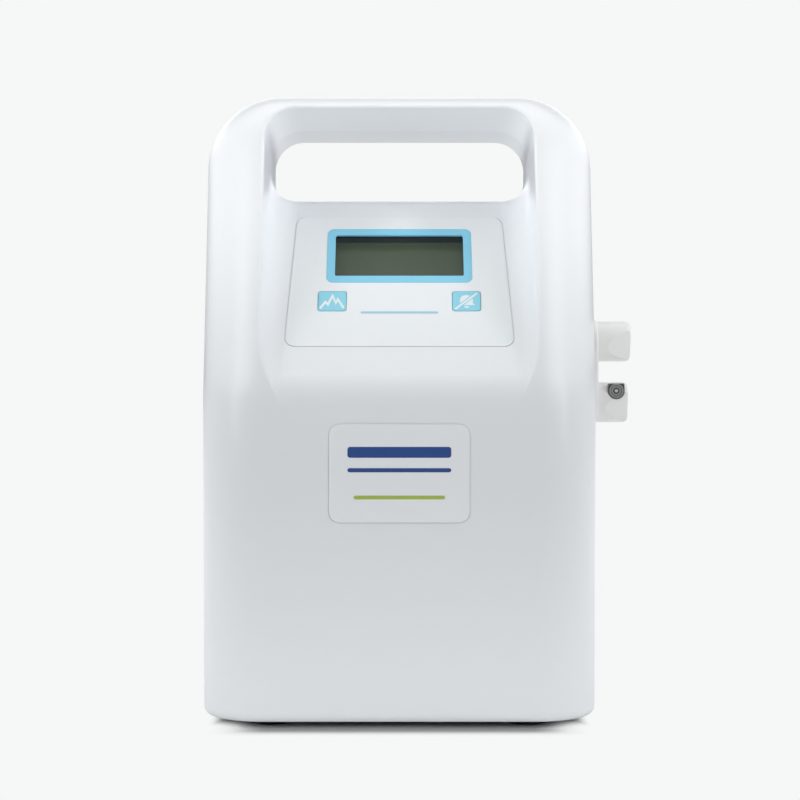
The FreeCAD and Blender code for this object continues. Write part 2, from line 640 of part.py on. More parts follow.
ix, iz = d.inlet_x, d.inlet_z
back = d.half_depth - d.parting_step
shell_ = fuse("inlet_solid", box("inlet_flange", ix - 15.5, back, iz - 17.0, 31.0, 2.5, 34.0), box("inlet_barrel", ix - 13.5, 34.0, iz - 15.0, 27.0, 25.65, 30.0))
pins_at = [("live", -7.0, -7.6), ("neutral", 7.0, -7.6), ("earth", 0.0, -3.6)]
socket_room = plate_body("inlet_socket_form", "XZ_Plane", -70.0, [
    (ix - 12.1, iz - 13.9), (ix + 12.1, iz - 13.9), (ix + 12.1, iz - 1.4), (ix + 8.4, iz + 2.3), (ix - 8.4, iz + 2.3), (ix - 12.1, iz - 1.4)], 26.0, 0.6)
node("mains_inlet", cut("mains_inlet", shell_, socket_room, box("drawer_room", ix - 11.3, 38.5, iz + 4.7, 22.6, 30.0, 8.8),
                        *[box("pin_slot_" + n, ix + dx - 1.0, 30.0, iz + dz - 2.0, 2.0, 20.0, 4.0) for n, dx, dz in pins_at]))
node("inlet_pins", group("inlet_pins", *[box("pin_" + n, ix + dx - 1.0, 31.0, iz + dz - 2.0, 2.0, 28.0 + (1.5 if n == "earth" else 0.0), 4.0) for n, dx, dz in pins_at]))
drawer = cut("fuse_drawer", fuse("drawer_solid", box("drawer_tray", ix - 11.0, 39.5, iz + 5.0, 22.0, 20.5, 8.2), box("drawer_front", ix - 11.0, 58.0, iz + 5.0, 22.0, 4.6, 8.2)),
             box("drawer_bay", ix - 10.0, 41.0, iz + 6.2, 20.0, 12.0, 10.0), box("drawer_nick", ix - 3.0, 61.2, iz + 4.0, 6.0, 4.0, 2.4))
node("fuse_drawer", drawer)
fuse_tube = fuse("fuse_solid", rod("fuse_glass", 2.4, 18.0, ix - 9.0, 47.0, iz + 9.2, "x"), rod("fuse_cap_l", 2.6, 4.5, ix - 9.6, 47.0, iz + 9.2, "x"),
                 rod("fuse_cap_r", 2.6, 4.5, ix + 5.1, 47.0, iz + 9.2, "x"))
node("mains_fuse", fuse_tube)

rx, rz = d.rocker_x, d.rocker_z
pivot_y = 56.0
node("switch_housing", cut("switch_housing", fuse("switch_solid", box("switch_flange", rx - 7.5, back, rz - 10.5, 15.0, 1.6, 21.0),
                                                 box("switch_barrel", rx - 6.4, 40.0, rz - 9.5, 12.8, 19.65, 19.0)),
                           rod("switch_bowl", 8.75, 10.6, rx - 5.3, pivot_y, rz, "x"), box("switch_mouth", rx - 5.3, pivot_y, rz - 8.75, 10.6, 12.0, 17.5),
                           rod("switch_pin_hole", 1.05, 12.0, rx - 6.0, pivot_y, rz, "x")))
rocker_form = cut("rocker_form", fuse("rocker_solid", rod("rocker_drum", 8.4, 10.0, -5.0, 0.0, 0.0, "x"), rod("rocker_pins", 1.0, 11.4, -5.7, 0.0, 0.0, "x")),
                  *both_sides(rocker_face))
node("power_rocker", put(rocker_form, rx, pivot_y, rz, (1, 0, 0), d.rocker_tilt))

node("rating_plate", plate_body("rating_plate", "XZ_Plane", -back - 0.5, [(-38, 122), (38, 122), (38, 164), (-38, 164)], 0.5, 3.0))

# ---------------------------------------------------------------- compressor
py, sz, sr, rodx = d.pump_y, d.shaft_z, d.shaft_radius, d.rod_x
cy = d.can_radius
rubber = []
for i, (gx, gy) in enumerate([(-72, -6), (24, -6), (-72, 22), (24, 22)]):
    rubber.append(ring("grommet_%d" % i, 5.0, 2.0, 6.8, gx, gy, 5.2))
node("pump_mounts", group("pump_mounts", *rubber))
tray = box("chassis_tray", -78.0, -12.0, 12.0, 128.0, 40.0, 1.5)
lips = [box("chassis_lip_a", -78.0, -12.0, 13.5, 128.0, 1.5, 4.0), box("chassis_lip_b", -78.0, 26.5, 13.5, 128.0, 1.5, 4.0)]
riser = box("chassis_riser", 34.0, -10.0, 13.5, 1.5, 34.0, 102.0)
saddles = []
for i, x in enumerate([-62.0, -30.0]):
    saddles.append(cut("saddle_%d" % i, box("saddle_%d_block" % i, x, py - 13.0, 13.5, 6.0, 26.0, 24.0),
                       rod("saddle_%d_bed" % i, cy, 10.0, x - 2.0, py, sz, "x")))
node("pump_chassis", cut("pump_chassis", fuse("chassis_solid", tray, *lips, riser, *saddles),
                         *[rod("chassis_hole_%d" % i, 1.8, 4.0, gx, gy, 11.0) for i, (gx, gy) in enumerate([(-72, -6), (24, -6), (-72, 22), (24, 22)])],
                         rod("chassis_window", 8.0, 6.0, 32.0, py, 83.0, "x"), box("chassis_housing_room", -9.3, py - 21.3, 13.5, 26.6, 42.6, 6.0)))
motor_shell = cut("motor_shell", rod("can_body", cy, 56.0, -70.0, py, sz, "x"), rod("can_inside", cy - 1.4, 54.0, -71.0, py, sz, "x"),
                  rod("can_nose_hole", 5.0, 6.0, -18.0, py, sz, "x"))
node("motor_end_bell", cut("motor_end_bell", fuse("bell_solid", rod("bell_disc", cy, 3.0, -73.0, py, sz, "x"), rod("bell_boss", 7.0, 4.0, -77.0, py, sz, "x")),
                           rod("bell_bore", 5.0, 10.0, -78.0, py, sz, "x")))
node("motor_bearings", group("motor_bearings", ring("bush_rear", 5.0, 2.01, 5.0, -77.0, py, sz, "x"), ring("bush_front", 5.0, 2.01, 5.0, -17.0, py, sz, "x")))
motor_magnets = cut("motor_magnets", ring("magnet_ring", cy - 1.4, 13.4, 34.0, -62.0, py, sz, "x"),
                          box("magnet_split_a", -64.0, py - 2.0, sz - 20.0, 40.0, 4.0, 40.0))
node("motor_can", group("motor_can", motor_shell, motor_magnets))
node("motor_shaft", rod("motor_shaft", sr, 90.0, -77.0, py, sz, "x"))
slots = [rod("core_slot_%d" % i, 2.2, 40.0, -64.0, py + 9.6 * math.cos(math.radians(90 + 72 * i)), sz + 9.6 * math.sin(math.radians(90 + 72 * i)), "x") for i in range(5)]
node("motor_rotor", cut("motor_rotor", rod("core_body", 12.6, 30.0, -60.0, py, sz, "x"), rod("core_bore", sr, 34.0, -62.0, py, sz, "x"), *slots))
node("eccentric_hub", cut("eccentric_hub", fuse("hub_solid", rod("hub_body", 5.0, 7.6, 0.2, py, sz + d.throw, "x"), rod("hub_weight", 9.0, 3.4, -3.2, py, sz - 1.5, "x")),
                          rod("hub_bore", sr, 16.0, -5.0, py, sz, "x")))
node("rod_bearing", ring("rod_bearing", 8.0, 5.03, 6.0, 1.0, py, sz + d.throw, "x"))
node("connecting_rod", cut("connecting_rod", fuse("conrod_solid", rod("conrod_eye", 10.6, 6.0, 1.0, py, sz + d.throw, "x"),
                                                 box("conrod_stem", rodx - 2.5, py - 3.0, sz + 8.0, 5.0, 6.0, 16.0), rod("conrod_top", 7.0, 2.0, rodx, py, 69.6)),
                           rod("conrod_bore", 8.0, 10.0, -1.0, py, sz + d.throw, "x"), rod("conrod_pilot", 1.3, 9.0, rodx, py, 63.0)))
# a dished rubber disc: its rim is held between housing and valve plate, its middle by the clamp
skin = body("diaphragm_body")
skin_turn = skin.newObject("PartDesign::Revolution", "diaphragm_turn")
skin_turn.Profile = polygon(sketch(skin, "XZ_Plane", "diaphragm_profile"), [
    (1.6, 71.6), (8.2, 71.6), (14.0, 74.4), (18.0, 74.4), (18.0, 76.0), (13.6, 76.0), (7.8, 72.8), (1.6, 72.8)])
skin_turn.ReferenceAxis = (skin_turn.Profile[0] if isinstance(skin_turn.Profile, tuple) else skin_turn.Profile, ["V_Axis"])
skin_turn.Angle = 360
doc.recompute()
put(skin, rodx, py, 0)
node("diaphragm", skin)
node("diaphragm_clamp", cut("diaphragm_clamp", fuse("clamp_solid", rod("clamp_disc", 7.0, 1.0, rodx, py, 72.8), rod("clamp_screw", 3.0, 0.8, rodx, py, 73.8), rod("clamp_shank", 1.25, 9.0, rodx, py, 64.0)),
                            box("clamp_slot", rodx - 3.5, py - 0.4, 74.2, 7.0, 0.8, 1.0)))
house = fuse("housing_solid", box("housing_box", -9.0, py - 21.0, 13.5, 26.0, 42.0, 55.0), box("housing_flange", -16.0, py - 20.0, 66.0, 40.0, 40.0, 10.0))
hx, hy = 16.5, 16.5
bolts = [(rodx + i * hx, py + j * hy) for i in (-1, 1) for j in (-1, 1)]


def bolt_holes(tag, z, long, r=1.6):
    return [rod("%s_bolt_%d" % (tag, i), r, long, x, y, z) for i, (x, y) in enumerate(bolts)]


node("pump_housing", cut("pump_housing", house, box("housing_room", -6.0, py - 17.5, 18.0, 20.0, 35.0, 48.0), rod("housing_mouth", 14.05, 12.0, rodx, py, 65.0),
                         rod("housing_groove", 18.05, 3.0, rodx, py, 74.4), rod("housing_shaft_hole", 5.4, 6.0, -11.0, py, sz, "x"), *bolt_holes("housing", 62.0, 16.0)))
valve_body = cut("valve_body", box("valve_block", -16.0, py - 20.0, 76.0, 40.0, 40.0, 3.0),
                        *[rod("valve_hole_%d" % i, 1.0, 5.0, rodx + x, py + y, 75.0) for i, (x, y) in enumerate([(-8, -2), (-8, 2), (8, -2), (8, 2)])],
                        rod("flap_seat_in", 5.0, 0.5, rodx - 8.0, py, 75.7), rod("flap_seat_out", 5.0, 0.5, rodx + 8.0, py, 78.8), *bolt_holes("valve", 75.0, 6.0))
node("valve_plate", group("valve_plate", valve_body, rod("flap_in", 4.6, 0.2, rodx - 8.0, py, 76.0), rod("flap_out", 4.6, 0.2, rodx + 8.0, py, 78.8)))
head = fuse("head_solid", box("head_block", -16.0, py - 20.0, 79.0, 40.0, 40.0, 14.0), *[rod("head_fin_%d" % i, 4.0, 5.0, x, py, 93.0) for i, x in enumerate([-4.0, 12.0])],
            rod("head_inlet", 2.9, 10.0, -25.5, py, 86.0, "x"), rod("head_outlet", 2.9, 8.0, 23.5, py, 86.0, "x"))
node("pump_head", cut("pump_head", head, rod("head_room_in", 6.0, 9.0, rodx - 8.0, py, 78.0), rod("head_room_out", 6.0, 9.0, rodx + 8.0, py, 78.0),
                      rod("head_inlet_bore", 1.5, 22.0, -26.0, py, 86.0, "x"), rod("head_outlet_bore", 1.5, 22.0, 12.5, py, 86.0, "x"), *bolt_holes("head", 78.0, 20.0)))
head_screws = [cut("head_screw_%d" % i, fuse("head_screw_%d_solid" % i, rod("head_screw_%d_shank" % i, 1.5, 27.0, x, y, 66.0),
                                                                      rod("head_screw_%d_cap" % i, 2.8, 2.6, x, y, 93.0)),
                                              rod("head_screw_%d_socket" % i, 1.3, 2.0, x, y, 94.2)) for i, (x, y) in enumerate(bolts)]
node("intake_filter", cut("intake_filter", fuse("filter_solid", rod("filter_can", 9.0, 20.0, -46.0, py, 86.0, "x"), rod("filter_lip", 9.6, 2.0, -36.0, py, 86.0, "x"), rod("filter_neck", 4.6, 6.0, -26.0, py, 86.0, "x")),
                          rod("filter_neck_bore", 2.95, 10.0, -29.0, py, 86.0, "x"), *[rod("filter_hole_%d" % i, 1.2, 6.0, -48.0, py + 5.0 * math.cos(i * math.pi / 3), 86.0 + 5.0 * math.sin(i * math.pi / 3), "x") for i in range(6)]))

# ---------------------------------------------------------------- valves and air lines
spig = [("feed", 44.0, 20.0), ("upper", 46.0, -15.0), ("lower", 66.0, -15.0)]
block = fuse("manifold_solid", box("manifold_block", 35.5, -24.0, 98.0, 42.0, 44.0, 16.0), rod("manifold_up", 2.9, 10.0, 46.0, -15.0, 114.0), rod("manifold_low", 2.9, 10.0, 66.0, -15.0, 114.0),
             rod("manifold_feed", 2.9, 10.0, 60.0, py, 88.0), rod("manifold_sense", 1.6, 8.0, 40.0, -32.0, 106.0, "y"))
node("valve_manifold", cut("valve_manifold", block, rod("manifold_gallery", 2.0, 40.0, 35.0, -15.0, 106.0, "x"), rod("manifold_up_bore", 1.5, 20.0, 46.0, -15.0, 105.0),
                           rod("manifold_low_bore", 1.5, 20.0, 66.0, -15.0, 105.0), rod("manifold_feed_bore", 1.5, 20.0, 60.0, py, 87.0), rod("manifold_sense_bore", 0.8, 14.0, 40.0, -33.0, 106.0, "y")))
coils, cores = [], []
for n, x in (("upper", 47.0), ("lower", 67.0)):
    coils.append(cut(n + "_coil", fuse(n + "_coil_solid", box(n + "_coil_yoke", x - 9.0, py - 10.0, 114.0, 18.0, 20.0, 24.0), rod(n + "_coil_cap", 6.0, 3.0, x, py, 138.0)),
                     rod(n + "_coil_bore", 4.05, 24.5, x, py, 113.0)))
    node(n + "_valve_core", cut(n + "_valve_core", rod(n + "_core_body", 4.0, 13.0, x, py, 114.6), rod(n + "_core_cup", 3.0, 4.0, x, py, 124.0)))
    start = Vector(x, py.value, 125.0)
    helix = Part.makeHelix(2.2, 11.0, 2.3)
    helix.translate(start)
    wire = Part.Wire(helix.Edges)
    first = wire.Edges[0]
    t0 = first.tangentAt(first.FirstParameter)
    p0 = first.valueAt(first.FirstParameter)
    coil = wire.makePipeShell([Part.Wire([Part.Circle(p0, t0, 0.3).toShape()])], True, True)
    node(n + "_valve_spring", made(n + "_valve_spring", coil))
node("valve_coils", group("valve_coils", *coils))

uz, lz = d.upper_socket_z.value, d.lower_socket_z.value
tr, tb = d.tube_radius.value, d.tube_bore.value
node("socket_tubes", made("socket_tubes", Part.makeCompound([
    tube("upper_air_tube", [(46, -15, 115.5), (46, -15, uz), (85, -15, uz)], [22.0], tr, tb),
    tube("lower_air_tube", [(66, -15, 115.5), (66, -15, lz), (85, -15, lz)], [12.5], tr, tb)])))
node("pump_air_tube", made("pump_air_tube", tube("pump_air_tube", [(25, 8, 86), (37, 8, 86), (45, 8, 74.5), (55, 8, 72), (60, 8, 80), (60, 8, 97)], [9.0, 9.0, 5.0, 8.0], 3.9, tb)))

# ---------------------------------------------------------------- electronics
node("main_board", cut("main_board", box("main_board_blank", -75.0, -46.0, 79.0, 100.0, 1.6, 64.0),
                       *[rod("main_board_hole_%d" % i, 1.4, 4.0, x, -47.0, z, "y") for i, (x, z) in enumerate([(-70, 84), (20, 84), (-70, 138), (20, 138)])]))
chips = [("controller", -40, 100, 14, 3, 14), ("driver", -12, 104, 10, 3, 8), ("memory", -62, 112, 6, 2, 8), ("regulator", -20, 114, 8, 5, 8), ("header_a", -58, 128, 22, 9, 6), ("header_b", -22, 128, 16, 9, 6),
         ("header_c", -20, 84, 30, 9, 6)]
buzzer = cut("buzzer", rod("buzzer_can", 6.0, 8.0, 2.0, -44.4, 126.0, "y"), rod("buzzer_hole", 1.2, 4.0, 2.0, -38.0, 126.0, "y"))
pressure_sensor = cut("pressure_sensor", fuse("sensor_solid", box("sensor_case", 8.0, -44.4, 101.0, 12.0, 7.0, 10.0), rod("sensor_spigot", 1.6, 8.0, 14.0, -37.4, 106.0, "y")),
                      rod("sensor_bore", 0.8, 10.0, 14.0, -38.0, 106.0, "y"))
node("board_parts", group("board_parts", *[box("part_" + n, x, -44.4, z, w, t, h2) for n, x, z, w, t, h2 in chips],
                          *[rod("part_cap_%d" % i, 4.0, 11.0, x, -44.4, z, "y") for i, (x, z) in enumerate([(-66, 96), (-55, 90), (14, 118)])],
                          buzzer, pressure_sensor))
node("sensor_tube", made("sensor_tube", tube("sensor_tube", [(14, -36.0, 106), (14, -22.0, 106), (20, -22.0, 116), (32, -38.0, 116), (40, -40.0, 106), (40, -25.5, 106)], [4.5, 6.0, 6.0, 4.5], 2.4, 1.7)))
node("supply_board", cut("supply_board", box("supply_blank", -74.0, 44.0, 75.0, 54.0, 1.6, 76.0),
                         *[rod("supply_hole_%d" % i, 1.4, 4.0, x, 43.0, z, "y") for i, (x, z) in enumerate([(-70, 80), (-24, 80), (-70, 146), (-24, 146)])]))
supply_transformer = cut("supply_transformer", fuse("transformer_solid", box("transformer_core", -66.0, 20.0, 104.0, 30.0, 24.0, 26.0), box("transformer_winding", -62.0, 17.0, 100.0, 22.0, 27.0, 34.0)),
                         box("transformer_gap", -63.0, 16.0, 116.0, 24.0, 2.0, 2.0))
node("supply_parts", group("supply_parts", supply_transformer, rod("supply_cap_a", 8.0, 24.0, -32.0, 20.0, 92.0, "y"), rod("supply_cap_b", 6.0, 20.0, -64.0, 24.0, 92.5, "y"), box("supply_heatsink", -32.0, 26.0, 112.0, 3.0, 18.0, 26.0),
                           box("supply_terminal", -66.0, 34.0, 75.5, 11.5, 10.0, 9.0), box("supply_choke", -54.0, 32.0, 80.0, 14.0, 12.0, 14.0)))
node("inner_screws", group("inner_screws", *head_screws, *[fuse("board_screw_%d" % i, rod("board_screw_%d_cap" % i, 2.3, 1.4, x, -44.4, z, "y"), rod("board_screw_%d_shank" % i, 1.15, 7.0, x, -51.4, z, "y"))
                                             for i, (x, z) in enumerate([(-70, 84), (20, 84), (-70, 138), (20, 138)])],
                           *[fuse("supply_screw_%d" % i, rod("supply_screw_%d_cap" % i, 2.3, 1.4, x, 42.6, z, "y"), rod("supply_screw_%d_shank" % i, 1.15, 7.0, x, 44.0, z, "y"))
                             for i, (x, z) in enumerate([(-70, 80), (-24, 80), (-70, 146), (-24, 146)])],
                           on_console(fuse("console_screws", *[rod("console_screw_%d_%s" % (i, part), r, long, x, y, z if part == "cap" else z + 1.4)
                                                               for i, (x, y, z) in enumerate([(-43, 66.5, -9.7), (43, 66.5, -9.7), (-43, 94.5, -9.7), (43, 94.5, -9.7), (-40, 52, -10.4), (40, 52, -10.4)])
                                                               for part, r, long in (("cap", 2.3, 1.4), ("shank", 1.15, 5.4))]))))
wires = [tube("mains_wire_a", [(-52, 30.9, 32.4), (-52, 26.2, 32.4), (-70, 26.2, 33), (-80, 27, 44), (-79, 30, 66), (-58.5, 29.5, 80), (-58.5, 33.9, 80)],
              [3.5, 9.0, 12.0, 12.0, 2.8], 1.1),
         tube("mains_wire_b", [(-38, 30.4, 31.6), (-38, 26.4, 30.5), (-52, 26.4, 29.0), (-72, 26.2, 29.6), (-83.6, 27, 42), (-83, 30, 66), (-63.5, 29.5, 80.5), (-63.5, 33.9, 80.5)],
              [3.2, 12.0, 9.0, 12.0, 12.0, 2.8], 1.1)]
strip = body("ribbon_strip")
pts = [(-36.0, 134.6), (-30.0, 134.6), (-26.0, 150.0), (-20.0, 176.0), (-18.5, 186.5), (-19.4, 187.0), (-21.0, 176.4), (-27.0, 150.4), (-30.7, 135.5), (-36.0, 135.5)]
pad(strip, polygon(sketch(strip, "YZ_Plane", "ribbon_side", -20.0), pts), 14.0)
node("wiring", group("wiring", made("mains_wire_a", wires[0]), made("mains_wire_b", wires[1]), strip))

# ---------------------------------------------------------------- casing shells
outer = casing_block("outer_form", 0)
inner = casing_block("inner_form", d.wall)
hand = hand_space("hand_space", 0)
hand_wall = hand_space("hand_wall", d.wall)
rear_outer = casing_block("rear_outer_form", d.parting_step)
rear_hand = hand_space("rear_hand_space", d.parting_step)

BOSS = [("low", 82.0, 22.0, -12.0), ("mid", 82.0, 126.0, -12.0), ("high", 79.0, 252.0, 2.0)]
front_add, front_cut, rear_add, rear_cut, screws = [], [], [], [], []
for tag, bx, bz, by in BOSS:
    for side, k in (("l", -1), ("r", 1)):
        n = "boss_%s_%s" % (tag, side)
        front_add.append(rod(n, 4.5, 30.0 - by, k * bx, by, bz, "y"))
        front_add.append(box(n + "_rib", k * bx if k > 0 else -91.4, by, bz - 1.5, 91.4 - bx, 30.0 - by, 3.0))
        front_cut.append(rod(n + "_pilot", 1.9, 24.0, k * bx, 8.0, bz, "y"))
        rear_add.append(rod(n + "_rear", 6.0, 28.0, k * bx, 30.0, bz, "y"))
        rear_add.append(box(n + "_rear_rib", k * bx if k > 0 else -91.0, 30.0, bz - 1.5, 91.0 - bx, 15.0, 3.0))
        rear_cut.append(rod(n + "_well", 4.2, 30.0, k * bx, 38.0, bz, "y"))
        rear_cut.append(rod(n + "_clear", 2.1, 12.0, k * bx, 28.0, bz, "y"))
        head = cut(n + "_head", rod(n + "_disc", 3.8, 2.6, k * bx, 38.0, bz, "y"),
                   box(n + "_slot_a", k * bx - 2.2, 39.2, bz - 0.5, 4.4, 2.0, 1.0),
                   box(n + "_slot_b", k * bx - 0.5, 39.2, bz - 2.2, 1.0, 2.0, 4.4))
        screws.append(fuse(n + "_screw", head, rod(n + "_shank", 1.8, 28.0, k * bx, 10.0, bz, "y")))

# console openings and posts, drawn flat and laid on the slope
seat = plate_body("overlay_seat_form", "XY_Plane", -d.overlay_seat, [
    (-d.overlay_half_low - gap, d.overlay_low - gap), (d.overlay_half_low + gap, d.overlay_low - gap),
    (d.overlay_half_high + gap, d.overlay_high + gap), (-d.overlay_half_high - gap, d.overlay_high + gap)], 3.0, d.overlay_corner)
view = box("view_opening", -33.0, 65.5, -6.0, 66.0, 30.0, 8.0)
console_cut = [seat, view]
for side, k in (("l", -1), ("r", 1)):
    console_cut.append(box("key_well_" + side, k * d.key_spread - d.key_width / 2 - 0.4, d.key_middle - d.key_height / 2 - 0.4, -1.6,
                           d.key_width + 0.8, d.key_height + 0.8, 4.0))
    console_cut.append(rod("key_hole_" + side, d.key_stem / 2 + 0.4, 10.0, k * d.key_spread, d.key_middle, -6.0))
front_cut.append(on_console(fuse("console_openings", *console_cut)))
posts = []
for i, (px, py, pl) in enumerate([(-43, 66.5, -6.6), (43, 66.5, -6.6), (-43, 94.5, -6.6), (43, 94.5, -6.6), (-40, 52, -7.4), (40, 52, -7.4)]):
    posts.append(cut("console_post_%d" % i, rod("console_post_%d_body" % i, 2.6, -pl - 2.0, px, py, pl),
                     rod("console_post_%d_pilot" % i, 1.2, -pl - 2.6, px, py, pl)))
front_add.append(on_console(fuse("console_posts", *posts)))

# posts for the main board on the front wall
for i, (px, pz) in enumerate([(-70, 84), (20, 84), (-70, 138), (20, 138)]):
    front_add.append(cut("board_post_%d" % i, rod("board_post_%d_body" % i, 3.0, 12.0, px, -58.0, pz, "y"),
                         rod("board_post_%d_pilot" % i, 1.2, 8.0, px, -54.0, pz, "y")))

# seat of the name plate, seat and holes of the port plate, foot screws
label_seat = plate_body("plate_seat_form", "XZ_Plane", -face - d.plate_seat, [
    (-d.plate_width / 2 - 0.2, d.plate_middle - d.plate_height / 2 - 0.2), (d.plate_width / 2 + 0.2, d.plate_middle - d.plate_height / 2 - 0.2),
    (d.plate_width / 2 + 0.2, d.plate_middle + d.plate_height / 2 + 0.2), (-d.plate_width / 2 - 0.2, d.plate_middle + d.plate_height / 2 + 0.2)],
    3.0, d.plate_corner + 0.2)
front_cut.append(label_seat)
front_cut.append(plate_body("port_seat_form", "YZ_Plane", d.port_plate_seat, port_outline(0.2), 4.0, d.port_plate_corner))
for n, z in (("upper", d.upper_socket_z), ("lower", d.lower_socket_z)):
    front_cut.append(rod(n + "_port_hole", d.neck_radius + 0.15, 10.0, 86.0, d.socket_y, z, "x"))
for i, (fx, fy) in enumerate(foot_at):
    (front_add if i < 2 else rear_add).append(rod("foot_boss_%d" % i, 5.0, 7.0, fx, fy, 5.0))
    (front_cut if i < 2 else rear_cut).append(rod("foot_pilot_%d" % i, 1.7, 9.0, fx, fy, 2.0))


# rear shell: cut-outs for inlet and switch, ventilation slots, seat of the rating plate
rear_cut.append(box("inlet_cutout", d.inlet_x - 13.7, 50.0, d.inlet_z - 15.2, 27.4, 15.0, 30.4))
rear_cut.append(box("rocker_cutout", d.rocker_x - 6.6, 50.0, d.rocker_z - 9.7, 13.2, 15.0, 19.4))
vent = body("vent_form")
vent_sketch = rectangle(sketch(vent, "XZ_Plane", "vent_outline", -cell("vent_reach", 70.0)), cell("vent_first", 16.0), cell("vent_middle", 92.0),
                        cell("vent_wide", 2.4), cell("vent_high", 30.0))
sheet.recompute()
pad(vent, vent_sketch, cell("vent_through", 20.0))
fillet(vent, 1.15, lambda p, e: along("y", p))
rows = vent.newObject("PartDesign::LinearPattern", "vent_row")
rows.Originals = [vent.Group[1]]
rows.Direction = (vent_sketch, ["H_Axis"])
rows.Length = 48.0
rows.Occurrences = 9
doc.recompute()
vent.Tip = rows
doc.recompute()
rear_cut.append(vent)
for i, (px, pz) in enumerate([(-70, 80), (-24, 80), (-70, 146), (-24, 146)]):
    rear_add.append(cut("supply_post_%d" % i, rod("supply_post_%d_body" % i, 3.0, 12.4, px, 45.6, pz, "y"),
                        rod("supply_post_%d_pilot" % i, 1.2, 8.0, px, 45.6, pz, "y")))

# the two shells, parted across the depth
hollow = cut("hollow", inner, hand_wall)
front_half = box("front_half", -150, -100, -10, 300, d.parting_depth + 100, 400)
rear_half = box("rear_half", -150, d.parting_depth, -10, 300, 200, 400)
front_shell = cut("front_shell", common("front_block", outer, front_half), hand, hollow)
node("front_casing", cut("front_casing", fuse("front_with_bosses", front_shell, *front_add), *front_cut))
rear_shell = cut("rear_shell", common("rear_block", rear_outer, rear_half), rear_hand, hollow)
rear_plain = cut("rear_casing_plain", fuse("rear_with_bosses", rear_shell, *rear_add), *rear_cut)
doc.recompute()
rear_round = doc.addObject("Part::Fillet", "rear_casing")
rear_round.Base = rear_plain
back_face = (d.half_depth - d.parting_step).value
rim = [i for i, e in enumerate(rear_plain.Shape.Edges, 1)
       if all(near(v.y, back_face) and abs(v.x) < 66 and v.z > 245
              for v in [e.valueAt(e.ParameterRange[0] + (e.ParameterRange[1] - e.ParameterRange[0]) * k / 4.0) for k in range(5)])]
rear_round.Edges = [(i, d.slot_rim_radius.value, d.slot_rim_radius.value) for i in rim]
print("slot rim at the back: %d edges rounded %.1f" % (len(rim), d.slot_rim_radius.value))
doc.recompute()
node("rear_casing", rear_round)
node("casing_screws", group("casing_screws", *screws, *foot_screws))


doc.recompute()
bad = [o.Name for o in doc.Objects if "Invalid" in o.State or "Error" in o.State]
if bad:
    raise RuntimeError("failed objects: %s" % bad)
for name, o in NODES.items():
    if o.Shape.isNull() or not o.Shape.isValid() or not o.Shape.Solids:
        raise RuntimeError("bad shape: " + name)
os.makedirs("parts", exist_ok=True)
for name, o in NODES.items():
    o.Shape.exportStep("parts/%s.step" % name)
    print("%-24s %2d solids %10.0f mm3" % (name, len(o.Shape.Solids), o.Shape.Volume))
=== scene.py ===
import json
import math

import bmesh
import bpy
import numpy as np
from mathutils import Matrix, Vector
from mathutils.bvhtree import BVHTree
from mathutils.geometry import barycentric_transform

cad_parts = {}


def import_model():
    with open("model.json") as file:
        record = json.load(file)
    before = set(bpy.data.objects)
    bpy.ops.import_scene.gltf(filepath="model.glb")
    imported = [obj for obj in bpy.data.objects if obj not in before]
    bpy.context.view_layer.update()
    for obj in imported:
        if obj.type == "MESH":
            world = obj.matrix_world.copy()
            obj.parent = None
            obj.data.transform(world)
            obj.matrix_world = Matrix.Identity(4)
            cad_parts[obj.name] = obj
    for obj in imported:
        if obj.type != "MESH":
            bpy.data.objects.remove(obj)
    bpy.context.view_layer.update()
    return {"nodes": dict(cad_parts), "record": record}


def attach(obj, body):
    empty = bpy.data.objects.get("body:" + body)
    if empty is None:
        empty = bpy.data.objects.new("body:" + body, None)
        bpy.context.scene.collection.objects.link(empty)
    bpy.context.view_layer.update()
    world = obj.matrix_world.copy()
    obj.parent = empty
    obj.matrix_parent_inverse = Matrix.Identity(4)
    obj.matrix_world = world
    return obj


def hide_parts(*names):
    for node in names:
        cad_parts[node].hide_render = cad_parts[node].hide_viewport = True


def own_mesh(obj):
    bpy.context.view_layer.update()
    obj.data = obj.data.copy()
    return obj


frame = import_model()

scene = bpy.context.scene
NODES = frame["nodes"]


